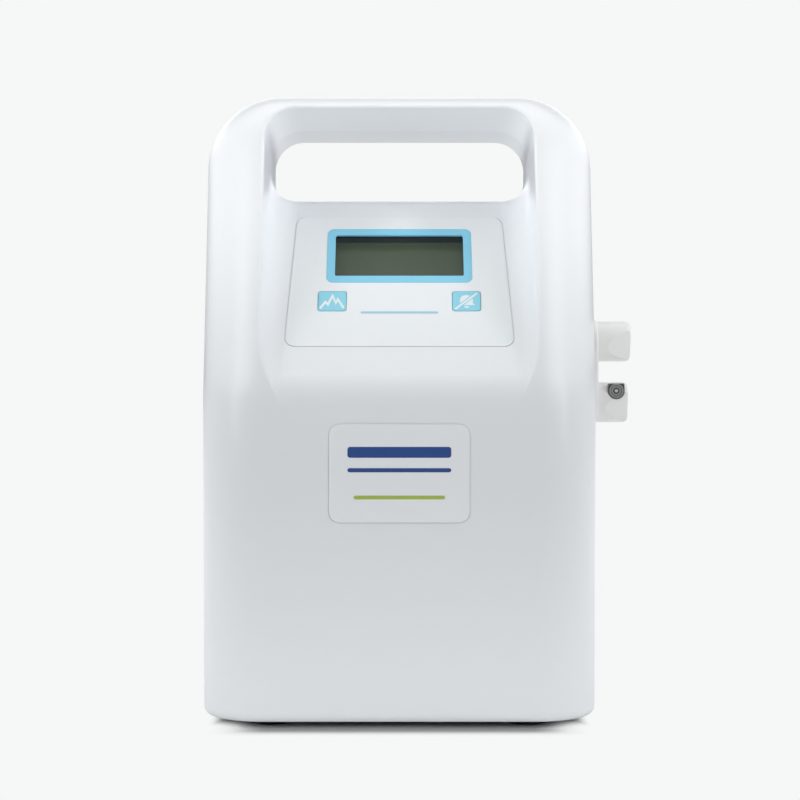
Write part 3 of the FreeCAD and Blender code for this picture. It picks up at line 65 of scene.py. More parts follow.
# ---------------------------------------------------------------- materials
class Tree:
    """A small helper round one material's node tree."""

    def __init__(self, name):
        self.mat = bpy.data.materials.new(name)
        self.mat.use_nodes = True
        self.t = self.mat.node_tree
        self.n = self.t.nodes
        self.bsdf = self.n["Principled BSDF"]
        self.out = self.n["Material Output"]
        self.pos = self.n.new("ShaderNodeTexCoord").outputs["Object"]

    def link(self, a, b):
        self.t.links.new(a, b)

    def set(self, **values):
        for k, v in values.items():
            self.bsdf.inputs[k.replace("_", " ")].default_value = v
        return self

    def mapped(self, scale=(1, 1, 1), turn=(0, 0, 0), shift=(0, 0, 0)):
        m = self.n.new("ShaderNodeMapping")
        m.inputs["Scale"].default_value = scale
        m.inputs["Rotation"].default_value = turn
        m.inputs["Location"].default_value = shift
        self.link(self.pos, m.inputs["Vector"])
        return m.outputs["Vector"]

    def noise(self, scale, detail=2.0, rough=0.5, vector=None):
        n = self.n.new("ShaderNodeTexNoise")
        n.inputs["Scale"].default_value = scale
        n.inputs["Detail"].default_value = detail
        n.inputs["Roughness"].default_value = rough
        self.link(vector if vector is not None else self.pos, n.inputs["Vector"])
        return n.outputs["Fac"]

    def ramp(self, fac, stops, interp="LINEAR"):
        r = self.n.new("ShaderNodeValToRGB")
        r.color_ramp.interpolation = interp
        e = r.color_ramp.elements
        while len(e) < len(stops):
            e.new(0.5)
        for i, (p, c) in enumerate(stops):
            e[i].position = p
            e[i].color = (c, c, c, 1) if isinstance(c, (int, float)) else (*c[:3], 1)
        self.link(fac, r.inputs["Fac"])
        return r.outputs["Color"]

    def math(self, op, a, b=0.0, clamp=False):
        m = self.n.new("ShaderNodeMath")
        m.operation = op
        m.use_clamp = clamp
        for i, x in enumerate((a, b)):
            if isinstance(x, (int, float)):
                m.inputs[i].default_value = x
            else:
                self.link(x, m.inputs[i])
        return m.outputs[0]

    def mix(self, fac, a, b, mode="MIX"):
        m = self.n.new("ShaderNodeMix")
        m.data_type = "RGBA"
        m.blend_type = mode
        if isinstance(fac, (int, float)):
            m.inputs["Factor"].default_value = fac
        else:
            self.link(fac, m.inputs["Factor"])
        for key, x in (("A", a), ("B", b)):
            sock = [s for s in m.inputs if s.name == key and s.type == "RGBA"][0]
            if isinstance(x, tuple):
                sock.default_value = (*x[:3], 1)
            else:
                self.link(x, sock)
        return [s for s in m.outputs if s.type == "RGBA"][0]

    def bump(self, height, distance, strength=1.0):
        b = self.n.new("ShaderNodeBump")
        b.inputs["Distance"].default_value = distance
        b.inputs["Strength"].default_value = strength
        self.link(height, b.inputs["Height"])
        self.link(b.outputs["Normal"], self.bsdf.inputs["Normal"])

    def colour(self, c):
        self.link(c, self.bsdf.inputs["Base Color"])

    def roughness(self, r):
        self.link(r, self.bsdf.inputs["Roughness"])


def shade(c, k):
    return tuple(min(1.0, x * k) for x in c)


def moulded(name, colour, rough=0.3, vary=0.015, grain=1400.0, depth=0.000012, coat=0.0, coat_rough=0.1, spec=0.5):
    """Moulded plastic: a fine moulding grain with very slightly uneven colour."""
    t = Tree(name)
    t.set(Specular_IOR_Level=spec, Coat_Weight=coat, Coat_Roughness=coat_rough, IOR=1.5)
    t.colour(t.ramp(t.noise(grain * 0.45, 3.0, 0.6), [(0.2, shade(colour, 1 - vary)), (0.8, shade(colour, 1 + vary * 0.6))]))
    t.bsdf.inputs["Roughness"].default_value = rough
    if depth:
        t.bump(t.noise(grain, 3.0, 0.6), depth)
    return t.mat


def rubbery(name, colour, rough=0.6):
    t = Tree(name)
    t.set(Specular_IOR_Level=0.35, IOR=1.5)
    t.colour(t.ramp(t.noise(120.0, 4.0, 0.6), [(0.3, shade(colour, 0.75)), (0.75, shade(colour, 1.5))]))
    t.roughness(t.ramp(t.noise(300.0, 2.0), [(0.3, rough - 0.06), (0.7, rough + 0.1)]))
    t.bump(t.noise(2500.0, 3.0, 0.6), 0.00003)
    return t.mat


def metal(name, colour, rough=0.3, brushed=(1, 1, 1), scale=900.0, depth=0.000012):
    """Turned or brushed metal: streaks along the directions left at a low scale."""
    t = Tree(name)
    t.set(Metallic=1.0)
    v = t.mapped(scale=brushed)
    streak = t.noise(scale, 4.0, 0.65, v)
    t.colour(t.ramp(streak, [(0.25, shade(colour, 0.72)), (0.75, shade(colour, 1.1))]))
    t.roughness(t.ramp(streak, [(0.2, rough - 0.08), (0.8, rough + 0.12)]))
    t.bump(streak, depth)
    return t.mat


def nickel_painted_rings(name, wide=7.7, tall=7.35, centre=3.85):
    """A nickel button with painted highlights: bright and dark rings and a bright centre dot in the base colour stand
    in for reflections, placed from the piece's own outline.
    """
    t = Tree(name)
    t.set(Metallic=0.35, Specular_IOR_Level=0.8)
    sep = t.n.new("ShaderNodeSeparateXYZ")
    t.link(t.n.new("ShaderNodeTexCoord").outputs["Generated"], sep.inputs[0])
    dx = t.math("MULTIPLY", t.math("SUBTRACT", sep.outputs["X"], 0.5), wide)
    dz = t.math("SUBTRACT", t.math("MULTIPLY", sep.outputs["Z"], tall), centre)
    r = t.math("SQRT", t.math("ADD", t.math("MULTIPLY", dx, dx), t.math("MULTIPLY", dz, dz)))
    r = t.math("ADD", r, t.math("MULTIPLY", t.noise(900.0, 2.0), 0.12))
    # painted highlights and painted dark reflections: rings of bright and dark base colour round a bright centre dot
    t.colour(t.ramp(t.math("DIVIDE", r, 5.0), [(0.0, 0.95), (0.15, 0.90), (0.21, 0.07), (0.30, 0.12), (0.36, 0.62), (0.45, 0.55),
                                               (0.52, 0.10), (0.60, 0.58), (0.68, 0.40), (0.76, 0.06), (1.0, 0.30)]))
    t.roughness(t.ramp(t.noise(1200.0, 2.0), [(0.2, 0.29), (0.8, 0.37)]))
    return t.mat


def painted(name, colour, rough=0.45):
    t = Tree(name)
    t.set(Metallic=0.55)
    t.colour(t.ramp(t.noise(90.0, 5.0, 0.6), [(0.25, shade(colour, 0.8)), (0.75, shade(colour, 1.15))]))
    t.roughness(t.ramp(t.noise(200.0, 3.0), [(0.3, rough - 0.1), (0.7, rough + 0.1)]))
    t.bump(t.noise(1200.0, 3.0), 0.00002)
    return t.mat


def board(name):
    """Green circuit board with faint copper tracks under the solder resist."""
    t = Tree(name)
    t.set(Coat_Weight=0.4, Coat_Roughness=0.15)
    b = t.n.new("ShaderNodeTexBrick")
    b.inputs["Scale"].default_value = 160.0
    b.inputs["Mortar Size"].default_value = 0.06
    b.inputs["Color1"].default_value = (0.02, 0.20, 0.08, 1)
    b.inputs["Color2"].default_value = (0.025, 0.24, 0.10, 1)
    b.inputs["Mortar"].default_value = (0.04, 0.33, 0.15, 1)
    t.link(t.mapped(turn=(math.pi / 2, 0, 0)), b.inputs["Vector"])
    t.colour(b.outputs["Color"])
    t.roughness(t.ramp(t.noise(150.0, 2.0), [(0.3, 0.28), (0.7, 0.4)]))
    t.bump(b.outputs["Fac"], 0.00003)
    return t.mat


def film(name, colour, rough, grain=3200.0, depth=0.000006, vary=0.01):
    """Printed polyester film: a fine velvet grain and very even colour."""
    t = Tree(name)
    t.set(Specular_IOR_Level=0.45, IOR=1.5)
    t.colour(t.ramp(t.noise(grain * 0.25, 3.0), [(0.2, shade(colour, 1 - vary)), (0.8, shade(colour, 1 + vary))]))
    t.roughness(t.ramp(t.noise(700.0, 3.0), [(0.2, rough - 0.02), (0.8, rough + 0.03)]))
    t.bump(t.noise(grain, 3.0, 0.7), depth)
    return t.mat


def clear(name, tint=(0.9, 0.93, 0.92), alpha=0.16, rough=0.03):
    """Clear moulding seen through: mostly transparent, with its gloss kept."""
    t = Tree(name)
    t.set(Alpha=alpha, Coat_Weight=0.0, IOR=1.49, Specular_IOR_Level=0.5)
    t.colour(t.ramp(t.noise(30.0, 2.0), [(0.3, shade(tint, 0.97)), (0.7, tint)]))
    t.roughness(t.ramp(t.noise(90.0, 3.0), [(0.3, rough), (0.7, rough + 0.03)]))
    return t.mat


SHELL = (0.890, 0.912, 0.944)
MATS = {
    "shell_front": moulded("moulded_shell", SHELL, 0.30, 0.005, 1700.0, 0, spec=0.6),
    # painted shade: the rear casing takes the shell colour 6 % darker, so the rear part of the handle's underside
    # reads darker
    "shell_rear": moulded("moulded_shell_rear", shade(SHELL, 0.94), 0.3, 0.005, 1700.0, 0, spec=0.6),
    "console_film": film("console_film", (0.895, 0.925, 0.945), 0.38, vary=0.004),
    "frame_blue": film("frame_print", (0.257, 0.675, 0.895), 0.32),
    "window_clear": clear("window_acrylic", (0.10, 0.12, 0.11), 0.10),
    "shroud_black": moulded("shroud_black", (0.014, 0.029, 0.058), 0.5),
    "display_glass": None,
    "board_green": board("board_resist"),
    "switch_parts": moulded("switch_black", (0.03, 0.03, 0.03), 0.4),
    "key_blue": film("key_print", (0.290, 0.700, 0.857), 0.32),
    "plate_white": film("plate_polycarbonate", (0.915, 0.935, 0.965), 0.33, vary=0.004),
    "foot_rubber": rubbery("foot_rubber", (0.010, 0.010, 0.011)),
    "port_white": moulded("port_acetal", (0.965, 0.962, 0.957), 0.34, 0.005),
    "latch_metal": nickel_painted_rings("latch_nickel"),
    "nut_brass": metal("nut_brass", (0.72, 0.55, 0.24), 0.3),
    "seal_black": rubbery("seal_rubber", (0.015, 0.015, 0.015), 0.4),
    "inlet_black": moulded("inlet_black", (0.018, 0.018, 0.019), 0.42, 0.04),
    "pin_metal": metal("pin_nickel", (0.74, 0.72, 0.68), 0.22, (1, 0.1, 1)),
    "fuse_glass": clear("fuse_glass", (0.8, 0.82, 0.82), 0.5),
    "rocker_black": moulded("rocker_black", (0.015, 0.015, 0.016), 0.31, 0.04),
    "rating_silver": film("rating_silver", (0.60, 0.61, 0.62), 0.32),
    "mount_rubber": rubbery("mount_rubber", (0.02, 0.02, 0.02), 0.7),
    "chassis_metal": painted("chassis_zinc", (0.52, 0.53, 0.55), 0.35),
    "motor_metal": painted("motor_steel", (0.40, 0.41, 0.43), 0.35),
    "motor_plastic": moulded("motor_plastic", (0.05, 0.05, 0.055), 0.4, 0.05),
    "bearing_steel": metal("bearing_steel", (0.62, 0.62, 0.63), 0.2),
    "rotor_steel": metal("rotor_laminations", (0.34, 0.27, 0.21), 0.45, (20, 1, 1), 60.0, 0.0001),
    "rod_metal": metal("rod_die_cast", (0.66, 0.67, 0.68), 0.42, (1, 1, 1), 300.0, 0.00004),
    "diaphragm_rubber": rubbery("diaphragm_rubber", (0.03, 0.03, 0.03), 0.5),
    "pump_metal": metal("pump_die_cast", (0.62, 0.63, 0.64), 0.45, (1, 1, 1), 260.0, 0.00005),
    "filter_felt": rubbery("filter_felt", (0.55, 0.54, 0.5), 0.9),
    "manifold_black": moulded("manifold_black", (0.045, 0.045, 0.05), 0.4, 0.05),
    "core_steel": metal("core_steel", (0.58, 0.58, 0.58), 0.25, (1, 1, 8)),
    "spring_steel": metal("spring_steel", (0.60, 0.60, 0.60), 0.25),
    "coil_wrap": moulded("coil_wrap", (0.40, 0.10, 0.05), 0.35, 0.1),
    "tube_clear": moulded("tube_silicone", (0.68, 0.71, 0.72), 0.35, 0.02),
    "chip_black": moulded("chip_black", (0.022, 0.022, 0.024), 0.38, 0.08),
    "transformer_mix": painted("transformer_varnish", (0.17, 0.13, 0.09), 0.4),
    "screw_zinc": metal("screw_zinc", (0.66, 0.67, 0.69), 0.26, (1, 1, 5)),
    "wire_mix": moulded("wire_insulation", (0.30, 0.06, 0.05), 0.4, 0.1),
}


def display_glass():
    """Unlit character display: dark green glass, a little uneven."""
    t = Tree("display_glass")
    t.set(IOR=1.5, Specular_IOR_Level=0.4)
    t.colour(t.ramp(t.noise(25.0, 2.0), [(0.3, (0.079, 0.110, 0.062)), (0.7, (0.090, 0.125, 0.070))]))
    t.roughness(t.ramp(t.noise(80.0, 2.0), [(0.3, 0.20), (0.7, 0.25)]))
    return t.mat


MATS["display_glass"] = display_glass()
SLOT = {s["node"]: s["material_slot"] for s in frame["record"]["subparts"]}
for name, ob in NODES.items():
    m = MATS[SLOT[name]]
    ob.data.materials.clear()
    ob.data.materials.append(m)
    ob.data.polygons.foreach_set("material_index", np.zeros(len(ob.data.polygons), np.int32))


# ---------------------------------------------------------------- recess rim
def rounded_rim(ob, radius, parts=7):
    """A copy of the front casing whose recess has a rounded front rim.

    The rim is found as a chain of edges, a concave strip is swept along it and cut away, and the
    casing keeps the shading normals it came with."""
    bm = bmesh.new()
    bm.from_mesh(ob.data)
    bmesh.ops.remove_doubles(bm, verts=bm.verts, dist=2e-6)
    bmesh.ops.dissolve_degenerate(bm, dist=1e-7, edges=bm.edges)
    start = Vector((-0.0642, -0.0477, 0.2019))
    first = min((e for e in bm.edges if e.calc_face_angle_signed(0) > math.radians(60)),
                key=lambda e: ((e.verts[0].co + e.verts[1].co) / 2 - start).length)

    def walk(edge, vert):
        out = []
        while True:
            way = (vert.co - edge.other_vert(vert).co).normalized()
            best, most = None, 0.8
            for e in vert.link_edges:
                if e is edge or e.calc_face_angle_signed(0) < math.radians(28):
                    continue
                k = (e.other_vert(vert).co - vert.co).normalized().dot(way)
                if k > most:
                    best, most = e, k
            if best is None:
                return out
            edge, vert = best, best.other_vert(vert)
            out.append((edge, vert))
            if len(out) > 400:
                return out

    a, b = first.verts
    up = (b, a) if b.co.z > a.co.z else (a, b)
    ahead, behind = walk(first, up[0]), walk(first, up[1])
    chain = [v for _, v in reversed(behind)] + [up[1], up[0]] + [v for _, v in ahead]
    links = [e for e, _ in reversed(behind)] + [first] + [e for e, _ in ahead]
    sides = []
    for e in links:
        at = (e.verts[0].co + e.verts[1].co) / 2
        centre = Vector((-at.x, 0, 0.235 - at.z)).normalized()
        n = sorted((f.normal.copy() for f in e.link_faces), key=lambda q: q.dot(centre))
        sides.append(n)
    pts, outer, inner = [], [], []
    for i, v in enumerate(chain):
        near = [sides[k] for k in (i - 1, i) if 0 <= k < len(sides)]
        pts.append(v.co.copy())
        outer.append(sum((s[0] for s in near), Vector()).normalized())
        inner.append(sum((s[1] for s in near), Vector()).normalized())
    bm.normal_update()
    # thin out points that stand closer than 0.7 mm, ends kept
    keep = [0]
    for i in range(1, len(pts) - 1):
        if (pts[i] - pts[keep[-1]]).length > 0.0007 and (pts[i] - pts[-1]).length > 0.0007:
            keep.append(i)
    keep.append(len(pts) - 1)
    pts, outer, inner = [pts[i] for i in keep], [outer[i] for i in keep], [inner[i] for i in keep]
    verts, normals = [], []
    for i, p in enumerate(pts):
        way = (pts[min(i + 1, len(pts) - 1)] - pts[max(i - 1, 0)]).normalized()
        n1 = (outer[i] - way * outer[i].dot(way)).normalized()
        n2 = (inner[i] - way * inner[i].dot(way)).normalized()
        t1, t2 = n1.cross(way), n2.cross(way)
        if t1.dot(n2) > 0:
            t1 = -t1
        if t2.dot(n1) > 0:
            t2 = -t2
        turn = math.acos(max(-1.0, min(1.0, n1.dot(n2))))
        reach = radius * math.tan(turn / 2)
        r = radius
        if reach > 1.5 * radius:
            reach = 1.5 * radius
            r = reach / math.tan(turn / 2)
        centre = p + t1 * reach - n1 * r
        row = []
        for k in range(parts + 1):
            s = k / parts
            q = (n1 * math.sin((1 - s) * turn) + n2 * math.sin(s * turn)).normalized()
            row.append(centre + q * r)
            normals.append(q)
        out = (n1 + n2).normalized()
        row += [p + t2 * reach + n2 * 0.0006, p + out * 0.0012, p + t1 * reach + n1 * 0.0006]
        normals += [q, q, q]
        verts += row
    wide = parts + 4
    faces, tags = [], []
    for i in range(len(pts) - 1):
        for k in range(wide):
            a, b = i * wide + k, i * wide + (k + 1) % wide
            faces += [(a, b, b + wide), (a, b + wide, a + wide)]
            tags += [1 if k < parts else 0] * 2
    faces += [tuple(range(wide)), tuple(reversed([(len(pts) - 1) * wide + k for k in range(wide)]))]
    tags += [0, 0]
    cutter = bpy.data.meshes.new("rim_cutter")
    cutter.from_pydata([tuple(v) for v in verts], [], faces)
    cb = bmesh.new()
    cb.from_mesh(cutter)
    bmesh.ops.recalc_face_normals(cb, faces=cb.faces)
    cb.to_mesh(cutter)
    cb.free()
    for _ in range(2):
        cutter.materials.append(bpy.data.materials.get("rim_tag") or bpy.data.materials.new("rim_tag"))
    cutter.polygons.foreach_set("material_index", np.array(tags, np.int32))
    body = bpy.data.meshes.new("casing_welded")
    bm.to_mesh(body)
    bm.free()
    for _ in range(2):
        body.materials.append(bpy.data.materials["rim_tag"])
    body.polygons.foreach_set("material_index", np.zeros(len(body.polygons), np.int32))
    whole, knife = bpy.data.objects.new("casing_whole", body), bpy.data.objects.new("rim_knife", cutter)
    scene.collection.objects.link(whole)
    scene.collection.objects.link(knife)
    m = whole.modifiers.new("cut", "BOOLEAN")
    m.operation, m.solver, m.object, m.material_mode = "DIFFERENCE", "EXACT", knife, "INDEX"
    dg = bpy.context.evaluated_depsgraph_get()
    done = bpy.data.meshes.new_from_object(whole.evaluated_get(dg))
    tagged = np.zeros(len(done.polygons), np.int32)
    done.polygons.foreach_get("material_index", tagged)
    # shading normals: the casing's own, and the strip's on the new rounding
    src = ob.data
    src.calc_loop_triangles()
    co = [v.co.copy() for v in src.vertices]
    tri = [tuple(t.vertices) for t in src.loop_triangles]
    loops = [tuple(t.loops) for t in src.loop_triangles]
    own = [Vector(c.vector) for c in src.corner_normals]
    tree = BVHTree.FromPolygons(co, tri)
    strip = [f for f, g in zip(faces, tags) if g]
    strip_tree = BVHTree.FromPolygons(verts, strip)
    split = []
    for poly in done.polygons:
        mid = poly.center
        if tagged[poly.index]:
            for v in poly.vertices:
                p = done.vertices[v].co
                _, _, f, _ = strip_tree.find_nearest(p)
                c = [verts[j] for j in strip[f]]
                split.append(barycentric_transform(p, *c, *[normals[j] for j in strip[f]]).normalized())
        else:
            _, _, f, _ = tree.find_nearest(mid)
            c = [co[j] for j in tri[f]]
            for v in poly.vertices:
                p = done.vertices[v].co
                split.append(barycentric_transform(p, *c, *[own[j] for j in loops[f]]).normalized())
    done.polygons.foreach_set("use_smooth", np.ones(len(done.polygons), bool))
    done.normals_split_custom_set([tuple(q) for q in split])
    done.materials.clear()
    done.materials.append(ob.data.materials[0])
    done.polygons.foreach_set("material_index", np.zeros(len(done.polygons), np.int32))
    done.name = "front_casing_soft"
    for o in (whole, knife):
        bpy.data.objects.remove(o)
    bpy.data.meshes.remove(body)
    bpy.data.meshes.remove(cutter)
    new = bpy.data.objects.new("front_casing_soft", done)
    scene.collection.objects.link(new)
    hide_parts("front_casing")
    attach(new, "casing")
    return new, len(pts), int((tagged > 0).sum())


rim = rounded_rim(NODES["front_casing"], 0.0016)
print("recess rim: %d sections, %d faces" % rim[1:])


# ---------------------------------------------------------------- valve springs
def yielding_spring(node):
    """A copy of a valve spring that stands in for the original, fixed to the casing."""
    src = NODES[node]
    me = src.data.copy()
    me.transform(src.matrix_world)
    me.name = node + "_soft"
    new = bpy.data.objects.new(node + "_soft", me)
    scene.collection.objects.link(new)
    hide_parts(node)
    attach(new, "casing")
    low, high = (f(v.co.z for v in me.vertices) for f in (min, max))
    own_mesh(new)


yielding_spring("upper_valve_spring")
yielding_spring("lower_valve_spring")


# ---------------------------------------------------------------- printed signs
OUT = Vector((0.0, -0.7986, 0.6018))
UP = Vector((0.0, 0.6018, 0.7986))


def face_of(node, out, up):
    """The middle of a node's outermost flat face, looking against `out`, with the face's own right and up."""
    right = Vector((1, 0, 0))
    co = [v.co for v in NODES[node].data.vertices]
    top = max(c.dot(out) for c in co)
    flat = [c for c in co if c.dot(out) > top - 0.00002]
    xs, us = [c.dot(right) for c in flat], [c.dot(up) for c in flat]
    return right * ((min(xs) + max(xs)) / 2) + up * ((min(us) + max(us)) / 2) + out * top, right, up, out


def bar(x, y, wide, high, r=None):
    """A stripe with rounded ends, in millimetres."""
    r = min(wide, high) / 2 if r is None else r
    out = []
    for cx, cy, a0 in ((1, 1, 0), (-1, 1, 90), (-1, -1, 180), (1, -1, 270)):
        for k in range(7):
            a = math.radians(a0 + 15 * k)
            out.append((x + cx * (wide / 2 - r) + r * math.cos(a), y + cy * (high / 2 - r) + r * math.sin(a)))
    return out


def stroke(points, width):
    """A mitred band along a line of points."""
    left, right = [], []
    for i, p in enumerate(points):
        a = points[max(i - 1, 0)]
        b = points[min(i + 1, len(points) - 1)]
        d0 = Vector((p[0] - a[0], p[1] - a[1])) if i else Vector((b[0] - p[0], b[1] - p[1]))
        d1 = Vector((b[0] - p[0], b[1] - p[1])) if i < len(points) - 1 else d0
        n0, n1 = Vector((-d0.y, d0.x)).normalized(), Vector((-d1.y, d1.x)).normalized()
        m = (n0 + n1).normalized()
        k = width / 2 / max(0.45, m.dot(n0))
        left.append((p[0] + m.x * k, p[1] + m.y * k))
        right.append((p[0] - m.x * k, p[1] - m.y * k))
    return left + right[::-1]


def beside(shape, a, b, keep_off):
    """The part of a shape that lies to the left of the line a-b by at least keep_off."""
    d = Vector((b[0] - a[0], b[1] - a[1])).normalized()
    n = Vector((-d.y, d.x))
    dist = [(p[0] - a[0]) * n.x + (p[1] - a[1]) * n.y - keep_off for p in shape]
    out = []
    for i, p in enumerate(shape):
        q, dp, dq = shape[(i + 1) % len(shape)], dist[i], dist[(i + 1) % len(shape)]
        if dp >= 0:
            out.append(p)
        if (dp >= 0) != (dq >= 0):
            t = dp / (dp - dq)
            out.append((p[0] + (q[0] - p[0]) * t, p[1] + (q[1] - p[1]) * t))
    return out


def printed(name, shapes, face, material, body, thick=0.03):
    """Ink lying on a face: thin closed prisms, one for each outline."""
    at, right, up, out = face
    bm = bmesh.new()
    for shape in shapes:
        area = sum(p[0] * q[1] - q[0] * p[1] for p, q in zip(shape, shape[1:] + shape[:1]))
        shape = shape if area > 0 else shape[::-1]
        rows = []
        for h in (-0.02, thick):
            rows.append([bm.verts.new(at + (right * x + up * y + out * h) * 0.001) for x, y in shape])
        n = len(shape)
        bm.faces.new(rows[1])
        bm.faces.new(rows[0][::-1])
        for i in range(n):
            j = (i + 1) % n
            bm.faces.new((rows[0][i], rows[0][j], rows[1][j], rows[1][i]))
    bmesh.ops.triangulate(bm, faces=[f for f in bm.faces if len(f.verts) > 4])
    me = bpy.data.meshes.new(name)
    bm.to_mesh(me)
    bm.free()
    me.materials.append(material)
    ob = bpy.data.objects.new(name, me)
    scene.collection.objects.link(ob)
    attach(ob, body)
    return ob


ink_white = film("ink_white", (0.86, 0.90, 0.93), 0.34, vary=0.02)
ink_blue = film("ink_light_blue", (0.36, 0.63, 0.78), 0.34, vary=0.03)
ink_navy = film("ink_navy", (0.035, 0.085, 0.30), 0.34, vary=0.04)
ink_green = film("ink_green", (0.42, 0.56, 0.10), 0.34, vary=0.04)

wave = [(-5.7, -4.6), (-3.2, -0.6), (-2.0, -2.2), (0.1, 3.2), (1.7, -1.3), (2.6, 1.0), (5.5, -4.4)]
printed("mode_key_sign", [stroke(wave, 1.15)], face_of("mode_key", OUT, UP), ink_white, "mode_key_body")

dome = [(3.0 * math.cos(math.radians(a)), 0.9 + 2.7 * math.sin(math.radians(a))) for a in range(0, 181, 15)]
bell = dome + [(-3.1, -1.5), (-4.1, -2.6), (4.1, -2.6), (3.1, -1.5)]
clapper = [(1.2 * math.cos(math.radians(a)), -3.2 + 1.2 * math.sin(math.radians(a))) for a in range(180, 361, 20)]
slash = ((-5.4, -5.0), (5.2, 4.9))
parts = [p for s in (bell, clapper) for p in (beside(s, *slash, 1.0), beside(s, *slash[::-1], 1.0)) if len(p) > 2]
printed("alarm_key_sign", parts + [stroke(slash, 1.0)], face_of("alarm_key", OUT, UP), ink_white, "alarm_key_body")

printed("console_stripe", [bar(0.0, -20.2, 36.8, 1.3)], face_of("membrane_overlay", OUT, UP), ink_blue, "casing")
plate = face_of("name_plate", Vector((0, -1, 0)), Vector((0, 0, 1)))
printed("plate_stripes_navy", [bar(0.0, 9.7, 47.6, 5.0, 1.2), bar(0.0, 1.5, 47.6, 1.9)], plate, ink_navy, "casing")
printed("plate_stripe_green", [bar(0.0, -11.0, 42.0, 1.7)], plate, ink_green, "casing")


# ---------------------------------------------------------------- camera
cam = bpy.data.objects.new("camera", bpy.data.cameras.new("camera"))
scene.collection.objects.link(cam)
cam.data.sensor_width = 36.0
cam.data.lens = 84.375
cam.data.clip_start, cam.data.clip_end = 0.05, 30.0
cam.location = (0.0003, -0.920, 0.1507)
cam.rotation_euler = (math.radians(90), 0, 0)
scene.camera = cam


# ---------------------------------------------------------------- studio
def world():
    """A soft tent whose brightness is set by zone: front, quarters, sides and back by height, and the roof."""
    w = bpy.data.worlds.new("studio")
    scene.world = w
    w.use_nodes = True
    t, n = w.node_tree, w.node_tree.nodes
    bg = n["Background"]
    co = n.new("ShaderNodeTexCoord")
    sep = n.new("ShaderNodeSeparateXYZ")
    t.links.new(co.outputs["Generated"], sep.inputs[0])
    x, y, z = sep.outputs

    def between(value, low, high, a=0.0, b=1.0):
        m = n.new("ShaderNodeMapRange")
        m.interpolation_type = "SMOOTHSTEP"
        m.inputs["From Min"].default_value = low
        m.inputs["From Max"].default_value = high
        m.inputs["To Min"].default_value = a
        m.inputs["To Max"].default_value = b
        t.links.new(value, m.inputs["Value"])
        return m.outputs["Result"]

    def op(kind, a, b=0.0):
        m = n.new("ShaderNodeMath")
        m.operation = kind
        for i, v in enumerate((a, b)):
            if isinstance(v, (int, float)):
                m.inputs[i].default_value = v
            else:
                t.links.new(v, m.inputs[i])
        return m.outputs[0]

    flat = op("SQRT", op("ADD", op("MULTIPLY", x, x), op("MULTIPLY", y, y)))
    turn = op("DIVIDE", y, op("MAXIMUM", flat, 0.001))
    front = between(turn, -0.95, -0.80, 1.0, 0.0)
    not_quarter = between(turn, -0.60, -0.35)
    quarter = op("SUBTRACT", op("SUBTRACT", 1.0, front), not_quarter)
    back = between(turn, 0.35, 0.8)
    side = op("SUBTRACT", not_quarter, back)
    above_low = between(z, 0.10, 0.30)
    above_mid = between(z, 0.45, 0.60)
    above_high = between(z, 0.75, 0.90)
    low = op("SUBTRACT", 1.0, above_low)
    mid = op("SUBTRACT", above_low, above_mid)
    high = op("SUBTRACT", above_mid, above_high)
    total = op("MULTIPLY", above_high, ZONES["roof"])
    for band, tag in ((low, "low"), (mid, "mid"), (high, "high")):
        for way, name in ((front, "front"), (quarter, "quarter"), (side, "side"), (back, "back")):
            total = op("ADD", total, op("MULTIPLY", op("MULTIPLY", band, way), ZONES[name + "_" + tag]))
    seen = n.new("ShaderNodeLightPath").outputs["Is Camera Ray"]
    level = op("ADD", op("MULTIPLY", total, op("SUBTRACT", 1.0, seen)), op("MULTIPLY", seen, 0.932))
    bg.inputs["Color"].default_value = (0.988, 1.0, 0.996, 1)
    t.links.new(level, bg.inputs["Strength"])


def softbox(name, size, at, to, power, colour=(1, 1, 1)):
    d = bpy.data.lights.new(name, "AREA")
    d.shape = "RECTANGLE"
    d.size, d.size_y = size
    d.energy = power
    d.color = colour
    o = bpy.data.objects.new(name, d)
    scene.collection.objects.link(o)
    o.location = at
    o.rotation_euler = (Vector(to) - Vector(at)).to_track_quat("-Z", "Y").to_euler()
    o.visible_camera = False
    return o


def spot(name, at, to, power, angle, soft):
    """A soft round light that falls on the handle and the console only."""
    d = bpy.data.lights.new(name, "SPOT")
    d.energy, d.spot_size, d.spot_blend, d.shadow_soft_size = power, math.radians(angle), 1.0, soft
    o = bpy.data.objects.new(name, d)
    scene.collection.objects.link(o)
    o.location = at
    o.rotation_euler = (Vector(to) - Vector(at)).to_track_quat("-Z", "Y").to_euler()
    o.visible_camera = False
    return o


